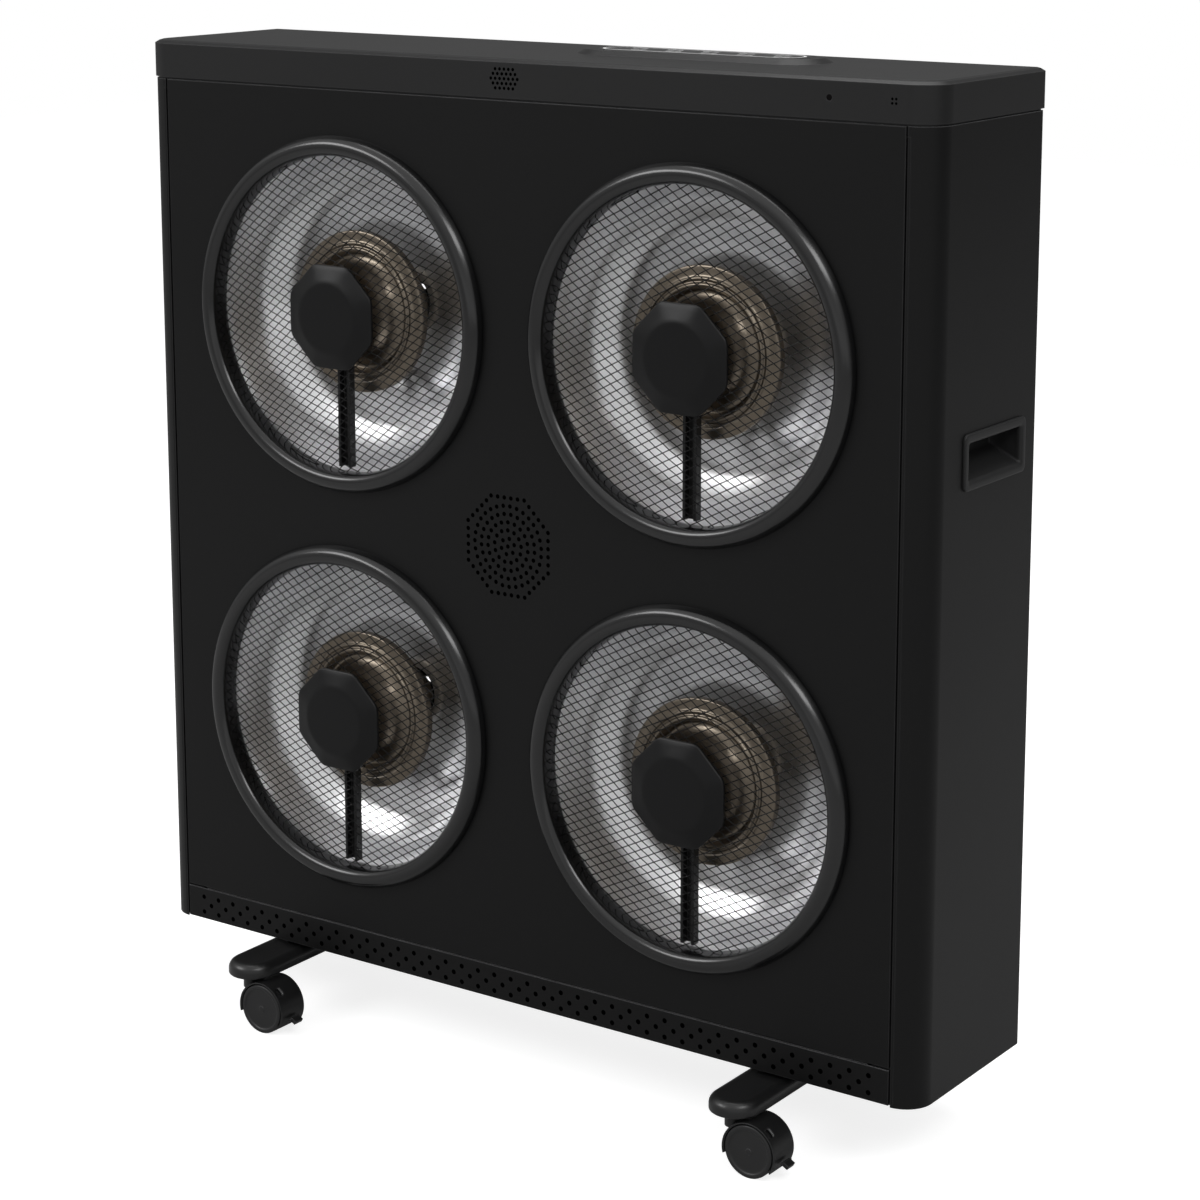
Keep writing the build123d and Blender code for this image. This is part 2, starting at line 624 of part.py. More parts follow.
# Spun reflector of bright sheet: a rim flange behind the sleeve, a steep wall and a shallower bowl
dish_outline = (
    (dish_radius, SLEEVE_DEPTH),
    (dish_wall_radius, DISH_WALL_DEPTH),
    (dish_bowl_radius, DISH_BOWL_DEPTH),
    (dish_floor_radius, DISH_DEPTH),
)
dish_back = [(radius + DISH_SHEET, depth + DISH_SHEET) for radius, depth in dish_outline]
with BuildPart() as reflector:
    add(
        turned(
            (
                (0, DISH_DEPTH),
                *reversed(dish_outline),
                (dish_radius + DISH_FLANGE, SLEEVE_DEPTH),
                (dish_radius + DISH_FLANGE, SLEEVE_DEPTH + DISH_SHEET),
                *dish_back,
                (0, DISH_DEPTH + DISH_SHEET),
            ),
            DISH_SIDES,
        )
    )
    # Ways through for the neck bore of the bell and for the two legs of the element
    with BuildSketch(Plane.XY.offset(-DISH_DEPTH - 2 * DISH_SHEET)):
        RegularPolygon(NECK_BORE_RADIUS, BELL_SIDES)
        with Locations((0, -ELEMENT_RADIUS)):
            with GridLocations(LEG_SPREAD, LEG_SPREAD, 2, 1):
                Rectangle(LEG_SIZE + 2 * SEAT_GAP, LEG_SIZE + 2 * SEAT_GAP)
    extrude(amount=DISH_DEPTH / 2, mode=Mode.SUBTRACT)
place_modules(reflector.part, "reflector")

# Bronze emitter bell: a closed hub that flares into two rolled ribs, on a neck from the dish floor
emitter_bell = turned(
    (
        (0, hub_front),
        (HUB_RADIUS, hub_front),
        (HUB_RADIUS, HUB_SHOULDER_DEPTH),
        (FLARE_RADIUS, FLARE_DEPTH),
        (VALLEY_RADIUS, VALLEY_DEPTH),
        (INNER_RIB_RADIUS, INNER_RIB_DEPTH),
        (GROOVE_RADIUS, GROOVE_DEPTH),
        (OUTER_RIB_RADIUS, OUTER_RIB_DEPTH),
        (BELL_RADIUS, BELL_DEPTH),
        (BELL_RADIUS - BELL_SHEET, BELL_DEPTH),
        (ELEMENT_RADIUS + trough_half, trough_depth),
        (ELEMENT_RADIUS - trough_half, trough_depth),
        (VALLEY_RADIUS + BELL_SHEET, BELL_DEPTH),
        (NECK_BORE_RADIUS + BELL_SHEET, BELL_DEPTH),
        (NECK_BORE_RADIUS + BELL_SHEET, DISH_DEPTH),
        (NECK_BORE_RADIUS, DISH_DEPTH),
        (NECK_BORE_RADIUS, FLARE_DEPTH),
        (HUB_RADIUS - BELL_SHEET, HUB_SHOULDER_DEPTH),
        (HUB_RADIUS - BELL_SHEET, hub_front + BELL_SHEET),
        (0, hub_front + BELL_SHEET),
    ),
    BELL_SIDES,
)
place_modules(emitter_bell, "emitter_bell")

# Sheathed heating element: one open turn in the trough behind the ribs, with two legs straight back
with BuildPart() as heating_element:
    with BuildSketch(Plane.XY.offset(-element_front)):
        facet_turn = 180 / BELL_SIDES
        RegularPolygon(
            ELEMENT_RADIUS + ELEMENT_SIZE / 2, BELL_SIDES, major_radius=False, rotation=facet_turn
        )
        RegularPolygon(
            ELEMENT_RADIUS - ELEMENT_SIZE / 2,
            BELL_SIDES,
            major_radius=False,
            rotation=facet_turn,
            mode=Mode.SUBTRACT,
        )
        with Locations((0, -ELEMENT_RADIUS)):
            Rectangle(LEG_SPREAD - LEG_SIZE, 4 * ELEMENT_SIZE, mode=Mode.SUBTRACT)
    extrude(amount=-ELEMENT_SIZE)
    with BuildSketch(Plane.XY.offset(-element_front - ELEMENT_SIZE)):
        with Locations((0, -ELEMENT_RADIUS)):
            with GridLocations(LEG_SPREAD, LEG_SPREAD, 2, 1):
                Rectangle(LEG_SIZE, LEG_SIZE)
    extrude(amount=-LEG_LENGTH)
place_modules(heating_element.part, "heating_element")

# Octagonal centre cap: eight bevels, and eight more that round its flat face
bevel_height = CAP_EDGE_DEPTH - CAP_FACE_DEPTH
corner_radius = CAP_ACROSS_FLATS / 2 / math.cos(math.pi / CAP_SIDES)
flat_slope = math.degrees(math.atan((CAP_ACROSS_FLATS / 2 - CAP_FACE_RADIUS) / bevel_height))
corner_slope = math.degrees(math.atan((corner_radius - CAP_FACE_RADIUS) / bevel_height))
with BuildPart() as centre_cap:
    with BuildSketch(Plane.XY.offset(-CAP_EDGE_DEPTH)) as octagon:
        RegularPolygon(CAP_ACROSS_FLATS / 2, CAP_SIDES, major_radius=False, rotation=180 / CAP_SIDES)
    extrude(amount=bevel_height, taper=flat_slope)
    with BuildSketch(Plane.XY.offset(-CAP_EDGE_DEPTH)):
        RegularPolygon(corner_radius, CAP_SIDES, major_radius=False)
    extrude(amount=bevel_height, taper=corner_slope, mode=Mode.INTERSECT)
    extrude(octagon.sketch, amount=CAP_EDGE_DEPTH - CAP_BACK)
place_modules(centre_cap.part, "centre_cap")

# Channel for the sensor lead, in front of the bell, from the hub down to the rim of the dish
with BuildPart() as cable_channel:
    with BuildSketch(Plane.XZ.offset(HUB_RADIUS + SEAT_GAP)):
        with Locations((0, -CHANNEL_BACK)):
            Rectangle(CHANNEL_WIDTH, CHANNEL_BACK - CHANNEL_FRONT, align=(Align.CENTER, Align.MIN))
        with Locations((0, -CHANNEL_FRONT)):
            Rectangle(
                CHANNEL_WIDTH - 2 * CHANNEL_FLANGE,
                CHANNEL_BACK - CHANNEL_FRONT - CHANNEL_WEB,
                align=(Align.CENTER, Align.MAX),
                mode=Mode.SUBTRACT,
            )
    extrude(amount=dish_radius - CHANNEL_END_GAP - HUB_RADIUS - SEAT_GAP)
place_modules(cable_channel.part, "cable_channel")


def dome_drop(offset):
    """How far the guard falls back at this distance from the middle of the dome."""
    return DOME_RISE * max(0.0, abs(offset) - DOME_FLAT) / (sleeve_radius - DOME_FLAT)


# Wire guards: two layers of crossing wires that rise to a flat crown under the cap. Every wire is bent down
# beyond the crown and stands further back the further it is from the middle, by the same fall, so that each
# crossing meets. The wires end at the bore of the bezel sleeve, which holds them.
first_wire = -wire_pitch * (WIRES_EACH_WAY - 1) / 2
wire_offsets = [first_wire + wire_pitch * number for number in range(WIRES_EACH_WAY)]
with BuildPart() as wire_layer:
    for offset in wire_offsets:
        half = math.sqrt((sleeve_radius - WIRE_GAP) ** 2 - (abs(offset) + WIRE / 2) ** 2)
        crown = -dome_drop(offset)
        ends = crown - dome_drop(half)
        with BuildSketch(Plane.XZ.offset(-offset)):
            with BuildLine():
                Polyline(
                    (-half, ends),
                    (-DOME_FLAT, crown),
                    (DOME_FLAT, crown),
                    (half, ends),
                    (half, ends - WIRE),
                    (DOME_FLAT, crown - WIRE),
                    (-DOME_FLAT, crown - WIRE),
                    (-half, ends - WIRE),
                    close=True,
                )
            make_face()
        extrude(amount=WIRE / 2, both=True)
for key, (x, z) in module_centres.items():
    with BuildPart() as crossed:
        for layer in range(2):
            level = CAP_BACK + WIRE_GAP + layer * (WIRE + WIRE_GAP)
            turn = mesh_turns[key] + layer * QUARTER_TURN
            with Locations(Location((0, 0, -level), (0, 0, turn))):
                add(wire_layer.part)
    with BuildPart() as wire_guard:
        with Locations(facing(x, 0, z)):
            add(crossed.part)
    finish(wire_guard.part, f"wire_guard_{key}")

# Ceramic terminal blocks on the ends of the element legs
with BuildPart() as terminal_blocks:
    with BuildSketch(facing(0, terminal_front, panel_centre_z - ELEMENT_RADIUS)):
        with GridLocations(*module_grid):
            Rectangle(TERMINAL_WIDTH, TERMINAL_HEIGHT)
    extrude(amount=-TERMINAL_DEPTH)
finish(terminal_blocks.part, "terminal_blocks")

# Foot bars, each with a raised pad under the tray and a blind socket at each end for a castor stem
for side, bar_x in (("left", -bar_spacing / 2), ("right", bar_spacing / 2)):
    with BuildPart() as foot_bar:
        with BuildSketch(Plane.XY.offset(bar_bottom)):
            with Locations((bar_x, 0)):
                Rectangle(BAR_WIDTH, 2 * castor_y)
            with Locations((bar_x, -castor_y), (bar_x, castor_y)):
                RegularPolygon(BAR_WIDTH / 2, BAR_END_SIDES, major_radius=False, rotation=180 / BAR_END_SIDES)
        extrude(amount=BAR_THICKNESS)
        chamfer(foot_bar.faces().sort_by(Axis.Z)[-1].edges(), BAR_CHAMFER)
        with BuildSketch(Plane.XY.offset(bar_top)):
            with Locations((bar_x, 0)):
                Rectangle(PAD_WIDTH, PAD_LENGTH)
        extrude(amount=PAD_HEIGHT)
        with BuildSketch(Plane.XY.offset(bar_bottom)):
            with Locations((bar_x, -castor_y), (bar_x, castor_y)):
                RegularPolygon(STEM_RADIUS + PIN_CLEARANCE, PIN_SIDES, major_radius=False)
        extrude(amount=STEM_LENGTH, mode=Mode.SUBTRACT)
        with BuildSketch(Plane.XY.offset(bar_bottom)):
            with Locations((bar_x, 0)):
                with GridLocations(0, PAD_LENGTH / 2, 1, 2):
                    RegularPolygon(BOLT_HEAD_RADIUS + SEAT_GAP, SCREW_SIDES)
        extrude(amount=BOLT_HEAD_HEIGHT, mode=Mode.SUBTRACT)
        with BuildSketch(Plane.XY.offset(bar_bottom)):
            with Locations((bar_x, 0)):
                with GridLocations(0, PAD_LENGTH / 2, 1, 2):
                    RegularPolygon(BOLT_RADIUS + SCREW_CLEARANCE, SCREW_SIDES)
        extrude(amount=BAR_THICKNESS + PAD_HEIGHT, mode=Mode.SUBTRACT)
    finish(foot_bar.part, f"foot_bar_{side}")


def castor_housing(x, y, has_brake):
    """Castor body: a centre web with a hood over both wheels, a neck and a stem pin."""
    hub_x = x + TRAIL
    pivot_x = hub_x + lever_reach * math.cos(lever_turn)
    pivot_z = WHEEL_RADIUS + lever_reach * math.sin(lever_turn)
    with BuildPart() as housing:
        with BuildSketch(Plane.XZ.offset(-y)):
            with Locations((hub_x, WHEEL_RADIUS)):
                RegularPolygon(hood_radius, CASTOR_SIDES)
                RegularPolygon(hood_radius - HOOD_WALL, CASTOR_SIDES, mode=Mode.SUBTRACT)
                # The hood stops below the wheel centre, lower on the trailing side
                with BuildLine():
                    Polyline(
                        (0, 0),
                        (-2 * hood_radius, -HOOD_LEADING_DROP),
                        (-2 * hood_radius, -2 * hood_radius),
                        (2 * hood_radius, -2 * hood_radius),
                        (2 * hood_radius, -HOOD_TRAILING_DROP),
                        (hood_radius / 2, -HOOD_TRAILING_DROP),
                        close=True,
                    )
                make_face(mode=Mode.SUBTRACT)
        extrude(amount=CASTOR_WIDTH / 2, both=True)
        with BuildSketch(Plane.XY.offset(WHEEL_RADIUS)):
            with Locations((x, y)):
                RegularPolygon(NECK_RADIUS, PIN_SIDES)
        extrude(amount=WHEEL_DROP - NECK_GAP)
        # Wheel wells, and between them the web that carries the axle
        with BuildSketch(Plane.XZ.offset(-y)):
            with Locations((hub_x, WHEEL_RADIUS)):
                RegularPolygon(hood_radius - HOOD_WALL, CASTOR_SIDES)
        extrude(amount=NECK_RADIUS, both=True, mode=Mode.SUBTRACT)
        with BuildSketch(Plane.XZ.offset(-y)):
            with Locations((hub_x, WHEEL_RADIUS)):
                RegularPolygon(hood_radius - HOOD_WALL / 2, CASTOR_SIDES)
                RegularPolygon(
                    AXLE_RADIUS + PIN_CLEARANCE, PIN_SIDES, major_radius=False, mode=Mode.SUBTRACT
                )
                with Locations((0, -HOOD_TRAILING_DROP)):
                    Rectangle(
                        4 * hood_radius, hood_radius, align=(Align.CENTER, Align.MAX), mode=Mode.SUBTRACT
                    )
        extrude(amount=WEB_THICKNESS / 2, both=True)
        with BuildSketch(Plane.XY.offset(bar_bottom - NECK_GAP)):
            with Locations((x, y)):
                RegularPolygon(STEM_RADIUS, PIN_SIDES)
        extrude(amount=NECK_GAP + STEM_LENGTH - SEAT_GAP)
        slot_turn = math.radians(HOOD_SLOT_ANGLE)
        outward = (math.cos(slot_turn), 0, math.sin(slot_turn))
        with BuildSketch(Plane(origin=(hub_x, y, WHEEL_RADIUS), x_dir=(0, 1, 0), z_dir=outward)):
            with Locations((-CASTOR_WIDTH / 4, 0)):
                Rectangle(HOOD_SLOT_WIDTH, HOOD_SLOT_LENGTH)
        extrude(amount=2 * hood_radius, mode=Mode.SUBTRACT)
        if has_brake:
            # Two ears on the hood that carry the pin of the brake lever
            with BuildSketch(Plane.XZ.offset(-y)):
                with Locations(Location((pivot_x, pivot_z), -LEVER_PLACE_ANGLE)):
                    RegularPolygon(LEVER_EYE_RADIUS, LEVER_SIDES)
                    Rectangle(
                        lever_reach - hood_radius + HOOD_WALL / 2,
                        2 * LEVER_EYE_RADIUS,
                        align=(Align.MAX, Align.CENTER),
                    )
                    RegularPolygon(
                        LEVER_PIN_RADIUS + PIN_CLEARANCE, LEVER_SIDES, major_radius=False, mode=Mode.SUBTRACT
                    )
            extrude(amount=LEVER_WIDTH / 2 + SEAT_GAP + LEVER_EAR, both=True)
            with BuildSketch(Plane.XZ.offset(-y)):
                with Locations((hub_x + hood_radius, pivot_z)):
                    Rectangle(4 * LEVER_EYE_RADIUS, 4 * LEVER_EYE_RADIUS, align=(Align.MIN, Align.CENTER))
            extrude(amount=LEVER_WIDTH / 2 + SEAT_GAP, both=True, mode=Mode.SUBTRACT)
    return housing.part


def castor_wheels(x, y):
    """Two wheels, dished on their outer faces, pressed on one axle."""
    hub_x = x + TRAIL
    inner = WEB_THICKNESS / 2 + WHEEL_GAP
    outer = CASTOR_WIDTH / 2 - WHEEL_GAP
    with BuildPart() as wheels:
        with BuildSketch(Plane.XZ.offset(-y)):
            with Locations((hub_x, WHEEL_RADIUS)):
                RegularPolygon(WHEEL_RADIUS, CASTOR_SIDES)
        extrude(amount=outer, both=True)
        with BuildSketch(Plane.XZ.offset(-y)):
            with Locations((hub_x, WHEEL_RADIUS)):
                RegularPolygon(2 * WHEEL_RADIUS, CASTOR_SIDES)
                RegularPolygon(AXLE_RADIUS, PIN_SIDES, mode=Mode.SUBTRACT)
        extrude(amount=inner, both=True, mode=Mode.SUBTRACT)
        for way in (-1, 1):
            with BuildSketch(Plane.XZ.offset(-y - way * outer)):
                with Locations((hub_x, WHEEL_RADIUS)):
                    RegularPolygon(WHEEL_RADIUS - RIM_WIDTH, CASTOR_SIDES)
            extrude(amount=way * RIM_PROUD, mode=Mode.SUBTRACT)
    return wheels.part


def brake_lever(x, y):
    """Brake lever: an eye and its pin between the ears, with a tab that points out and down."""
    pivot_x = x + TRAIL + lever_reach * math.cos(lever_turn)
    pivot_z = WHEEL_RADIUS + lever_reach * math.sin(lever_turn)
    with BuildPart() as lever:
        with BuildSketch(Plane.XZ.offset(-y)):
            with Locations(Location((pivot_x, pivot_z), -LEVER_TAB_ANGLE)):
                RegularPolygon(LEVER_THICKNESS / 2, LEVER_SIDES)
                Rectangle(LEVER_LENGTH, LEVER_THICKNESS, align=(Align.MIN, Align.CENTER))
        extrude(amount=LEVER_WIDTH / 2, both=True)
        with BuildSketch(Plane.XZ.offset(-y)):
            with Locations((pivot_x, pivot_z)):
                RegularPolygon(LEVER_PIN_RADIUS, LEVER_SIDES)
        extrude(amount=LEVER_WIDTH / 2 + SEAT_GAP + LEVER_EAR, both=True)
    return lever.part


for key, (px, py) in castor_places.items():
    finish(castor_housing(px, py, key in braked), f"castor_housing_{key}")
    finish(castor_wheels(px, py), f"castor_wheels_{key}")
    if key in braked:
        finish(brake_lever(px, py), f"brake_lever_{key}")

# Screws round the rear panel, and the bolts that hold the tray on its foot bars
with BuildPart() as rear_screws:
    with BuildSketch(facing(0, CABINET_DEPTH, panel_centre_z)):
        with GridLocations(*screw_grid):
            RegularPolygon(SCREW_HEAD_RADIUS, SCREW_SIDES)
    extrude(amount=-SCREW_HEAD_HEIGHT)
    with BuildSketch(facing(0, CABINET_DEPTH, panel_centre_z)):
        with GridLocations(*screw_grid):
            RegularPolygon(SCREW_RADIUS, SCREW_SIDES)
    extrude(amount=SCREW_LENGTH)
finish(rear_screws.part, "rear_screws")

with BuildPart() as foot_bolts:
    with BuildSketch(Plane.XY.offset(bar_bottom)):
        with GridLocations(*bolt_grid):
            RegularPolygon(BOLT_HEAD_RADIUS, SCREW_SIDES)
    extrude(amount=BOLT_HEAD_HEIGHT)
    with BuildSketch(Plane.XY.offset(bar_bottom)):
        with GridLocations(*bolt_grid):
            RegularPolygon(BOLT_RADIUS, SCREW_SIDES)
    extrude(amount=BAR_THICKNESS + PAD_HEIGHT + 2 * SHEET)
finish(foot_bolts.part, "foot_bolts")
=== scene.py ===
"""Looks of the infrared cabinet heater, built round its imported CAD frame.

Every length in the classes below is in millimetres and is turned into metres only where a mesh is filled;
only the lamps are given in metres. A heater module is worked out standing by itself: x to the right, y up,
z out of the front, with z = 0 on the face of the front panel. A castor is worked out about its wheel axle.
"""

from __future__ import annotations

import json
import logging
import math
from dataclasses import dataclass
from enum import Enum
from typing import Callable, Sequence, Union
import bmesh
import bpy
import numpy as np
from mathutils import Euler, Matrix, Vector


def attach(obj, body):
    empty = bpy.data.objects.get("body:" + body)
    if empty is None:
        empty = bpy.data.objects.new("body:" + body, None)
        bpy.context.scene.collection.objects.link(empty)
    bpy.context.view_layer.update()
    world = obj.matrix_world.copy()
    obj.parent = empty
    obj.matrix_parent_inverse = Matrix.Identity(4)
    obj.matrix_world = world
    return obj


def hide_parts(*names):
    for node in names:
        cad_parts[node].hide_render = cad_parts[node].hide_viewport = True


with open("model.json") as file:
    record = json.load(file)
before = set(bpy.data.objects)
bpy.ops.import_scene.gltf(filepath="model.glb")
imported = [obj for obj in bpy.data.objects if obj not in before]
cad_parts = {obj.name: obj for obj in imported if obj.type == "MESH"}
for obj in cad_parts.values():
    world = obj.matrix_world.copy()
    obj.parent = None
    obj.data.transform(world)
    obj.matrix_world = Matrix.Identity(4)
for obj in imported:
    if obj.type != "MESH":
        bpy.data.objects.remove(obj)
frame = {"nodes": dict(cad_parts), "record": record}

LOG = logging.getLogger("cabinet_heater")
MM = 0.001
FULL_TURN = 2 * math.pi
BODY = "cabinet"

# Places of the CAD model, in millimetres
FRONT_Y = -79.0
CAP_FRONT_Y = -80.0
SIDE_X = 356.0
PANEL_CENTRE_Z = 419.5
MODULE_PITCH = 320.0
BAR_PLACES = (("left", -230.0), ("right", 230.0))
CASTOR_Y = 116.5
TRAIL = 18.5
WHEEL_RADIUS = 20.0
CAP_SEAM_Z = 753.5
CABINET_TOP_Z = 783.0

# Limits for points that count as one, and points far in front of and above the heater, in metres
MERGE = 1e-6
CAD_MERGE = 2e-6
FAR_FRONT = (0.0, -100.0, 0.4)
FAR_UP = (0.0, 0.0, 100.0)

Piece = bpy.types.Object
Material = bpy.types.Material
Tree = bpy.types.NodeTree
Socket = bpy.types.NodeSocket
Operand = Union[Socket, float, tuple]
Point = tuple[float, float]
Place = tuple[float, float, float]
Ramp = tuple[Point, Point]


class Slot(Enum):
    """Material slots of the record."""

    CABINET = "cabinet_paint"
    CAP = "cap_paint"
    GRIP = "grip_plastic"
    OVERLAY = "overlay_gloss"
    BOARD = "board_green"
    LENS = "lens_dark"
    INNER = "inner_plastic"
    CERAMIC = "ceramic"
    FOOT = "foot_plastic"
    FASTENER = "fastener_steel"
    BEZEL = "bezel_black"
    GUARD = "guard_wire"
    DISH = "dish_aluminium"
    BRONZE = "bronze"
    ELEMENT = "element_steel"
    CENTRE = "centre_black"
    CHANNEL = "channel_black"
    CASTOR = "castor_plastic"
    WHEEL = "wheel_plastic"
    LEVER = "lever_plastic"


# ---- meshes -------------------------------------------------------------------------------------------


def joined(*parts: np.ndarray | float) -> np.ndarray:
    """Spread coordinates over each other and set them side by side on a new last axis."""
    return np.stack(np.broadcast_arrays(*parts), -1)


def grid_faces(rows: int, columns: int, wrap: bool = False) -> np.ndarray:
    """Quads of a grid of points that is stored row by row.

    Args:
        rows: Number of rows of points.
        columns: Number of points in a row.
        wrap: Whether the last column joins the first.

    Returns:
        Array of (n, 4) point indices.
    """
    row, column = np.meshgrid(np.arange(rows - 1), np.arange(columns if wrap else columns - 1), indexing="ij")
    right = (column + 1) % columns
    low, high = row * columns, (row + 1) * columns
    return np.stack((low + column, low + right, high + right, high + column), -1).reshape(-1, 4)


def linked(name: str, data: bpy.types.ID) -> Piece:
    """Make an object of some data in the scene.

    Args:
        name: Name of the object.
        data: Its mesh, lamp or camera.

    Returns:
        The object.
    """
    thing = bpy.data.objects.new(name, data)
    bpy.context.scene.collection.objects.link(thing)
    return thing


def shade_smooth(mesh: bpy.types.Mesh, crease: float) -> None:
    """Shade a mesh smooth, but keep the edges sharp that bend by more than a crease in degrees."""
    mesh.polygons.foreach_set("use_smooth", np.ones(len(mesh.polygons), bool))
    mesh.set_sharp_from_angle(angle=math.radians(crease))


def make_piece(
    name: str, points: np.ndarray, faces: Sequence[Sequence[int]], crease: float | None = 35.0
) -> Piece:
    """Make an object at the origin from points in millimetres and faces.

    Args:
        name: Name of the piece.
        points: Array of points in millimetres, with x, y and z on its last axis.
        faces: Point indices of each face.
        crease: Edges sharper than this many degrees stay sharp; None for flat faces.

    Returns:
        The object.
    """
    mesh = bpy.data.meshes.new(name)
    corners = (np.asarray(points, float) * MM).reshape(-1, 3)
    mesh.from_pydata(corners.tolist(), [], [list(map(int, face)) for face in faces])
    mesh.validate()
    if crease is not None:
        shade_smooth(mesh, crease)
    return linked(name, mesh)


def mended(piece: Piece, merge: bool = True, orient: bool = True) -> Piece:
    """Merge doubled points and turn the faces of closed shells outwards.

    Args:
        piece: The piece.
        merge: Whether doubled points are merged.
        orient: Whether the faces are turned.

    Returns:
        The piece.
    """
    work = bmesh.new()
    work.from_mesh(piece.data)
    if merge:
        bmesh.ops.remove_doubles(work, verts=work.verts, dist=MERGE)
    if orient:
        bmesh.ops.recalc_face_normals(work, faces=work.faces)
    work.to_mesh(piece.data)
    work.free()
    return piece


def stacked(name: str, rings: np.ndarray, ends: bool = False, crease: float = 35.0) -> Piece:
    """Join rings of points, one after the other, into a closed piece.

    Args:
        name: Name of the piece.
        rings: Array of (rings, points, 3) in millimetres.
        ends: Whether a face closes the first and the last ring, which otherwise shrink to a point.
        crease: Edges sharper than this many degrees stay sharp.

    Returns:
        The piece, with its faces outwards.
    """
    rows, count = rings.shape[:2]
    faces = grid_faces(rows, count, wrap=True).tolist()
    if ends:
        faces += [list(range(count))[::-1], list(range((rows - 1) * count, rows * count))]
    return mended(make_piece(name, rings, faces, crease))


def face_towards(piece: Piece, target: Place) -> None:
    """Turn an open shell's faces to the side that looks towards a point.

    Args:
        piece: The piece.
        target: The point, in metres.
    """
    mesh = piece.data
    if sum((Vector(target) - face.center).dot(face.normal) * face.area for face in mesh.polygons) < 0:
        mesh.flip_normals()


def rounded(corners: Sequence[Point], passes: int = 2) -> np.ndarray:
    """Soften an open line of corners by cutting each corner at a quarter of its two runs, again and again.

    Args:
        corners: Corner points; the first and last stay.
        passes: How many times the corners are cut.

    Returns:
        Array of (n, 2) points.
    """
    line = np.asarray(corners, float)
    for _ in range(passes):
        near = line[:-1] * 0.75 + line[1:] * 0.25
        far = line[:-1] * 0.25 + line[1:] * 0.75
        inner = np.stack((near, far), 1).reshape(-1, 2)
        line = np.vstack((line[:1], inner[1:-1], line[-1:]))
    return line


def revolve(name: str, profile: np.ndarray, sides: int, closed: bool = False) -> Piece:
    """Turn a profile about the z axis: a point of radius r and height h goes to (r cos a, r sin a, h).

    Args:
        name: Name of the piece.
        profile: Array of (n, 2) radii and heights.
        sides: Steps round the axis.
        closed: Whether the profile's last point joins its first, which gives a ring.

    Returns:
        The piece, with a UV map whose v runs along the profile in metres.
    """
    radii, heights = profile[:, :1], profile[:, 1:]
    angles = np.linspace(0, FULL_TURN, sides, endpoint=False)
    faces = grid_faces(len(profile), sides, wrap=True)
    if closed:
        first = np.arange(sides)
        last = first + (len(profile) - 1) * sides
        faces = np.vstack((faces, joined(last, np.roll(last, -1), np.roll(first, -1), first)))
    piece = make_piece(name, joined(radii * np.cos(angles), radii * np.sin(angles), heights), faces)
    run = np.concatenate(([0], np.cumsum(np.hypot(*np.diff(profile, axis=0).T)))) * MM
    loops = np.zeros(len(piece.data.loops), int)
    piece.data.loops.foreach_get("vertex_index", loops)
    uv = joined((loops % sides) / sides, run[loops // sides])
    piece.data.uv_layers.new(name="turned").data.foreach_set("uv", uv.astype(np.float32).ravel())
    return mended(piece)


def place(piece: Piece, carry: Callable[[np.ndarray], np.ndarray]) -> Piece:
    """Carry a piece's own points into the row frame.

    Args:
        piece: The piece.
        carry: Function on an (n, 3) array of points in millimetres.

    Returns:
        The piece.
    """
    vertices = piece.data.vertices
    points = np.zeros(len(vertices) * 3, np.float32)
    vertices.foreach_get("co", points)
    moved = carry(points.reshape(-1, 3).astype(float) / MM) * MM
    vertices.foreach_set("co", moved.astype(np.float32).ravel())
    piece.data.update()
    return piece


def walled(piece: Piece, name: str, thickness: float) -> Piece:
    """Give an open shell its wall, behind its faces.

    Args:
        piece: The shell.
        name: Name of the modifier.
        thickness: Thickness of the wall in millimetres.

    Returns:
        The piece.
    """
    wall = piece.modifiers.new(name, "SOLIDIFY")
    wall.thickness = thickness * MM
    wall.offset = -1.0
    return piece


def softened(
    name: str, node: str, radius: float, segments: int = 2, angle: float = 28.0, flat: float = 0.6
) -> Piece:
    """Copy a CAD node, merge its loose triangles and roll its edges.

    Args:
        name: Name of the new piece.
        node: CAD node that the piece replaces.
        radius: Size of the rolled edge in millimetres.
        segments: Steps of the rolled edge.
        angle: Edges sharper than this many degrees are rolled.
        flat: Faces that bend by less than this many degrees become one.

    Returns:
        The piece, which replaces the node.
    """
    mesh = frame["nodes"][node].data.copy()
    mesh.name = name
    work = bmesh.new()
    work.from_mesh(mesh)
    bmesh.ops.remove_doubles(work, verts=work.verts, dist=CAD_MERGE)
    bmesh.ops.dissolve_limit(work, angle_limit=math.radians(flat), verts=work.verts, edges=work.edges)
    work.to_mesh(mesh)
    work.free()
    mesh.materials.clear()
    shade_smooth(mesh, angle)
    piece = linked(name, mesh)
    bevel = piece.modifiers.new("rolled_edge", "BEVEL")
    bevel.width = radius * MM
    bevel.segments = segments
    bevel.limit_method = "ANGLE"
    bevel.angle_limit = math.radians(angle)
    bevel.harden_normals = True
    bevel.miter_outer = "MITER_ARC"
    flats = piece.modifiers.new("true_flats", "WEIGHTED_NORMAL")
    flats.mode = "FACE_AREA"
    flats.keep_sharp = True
    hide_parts(node)
    return piece


# ---- finishes -----------------------------------------------------------------------------------------


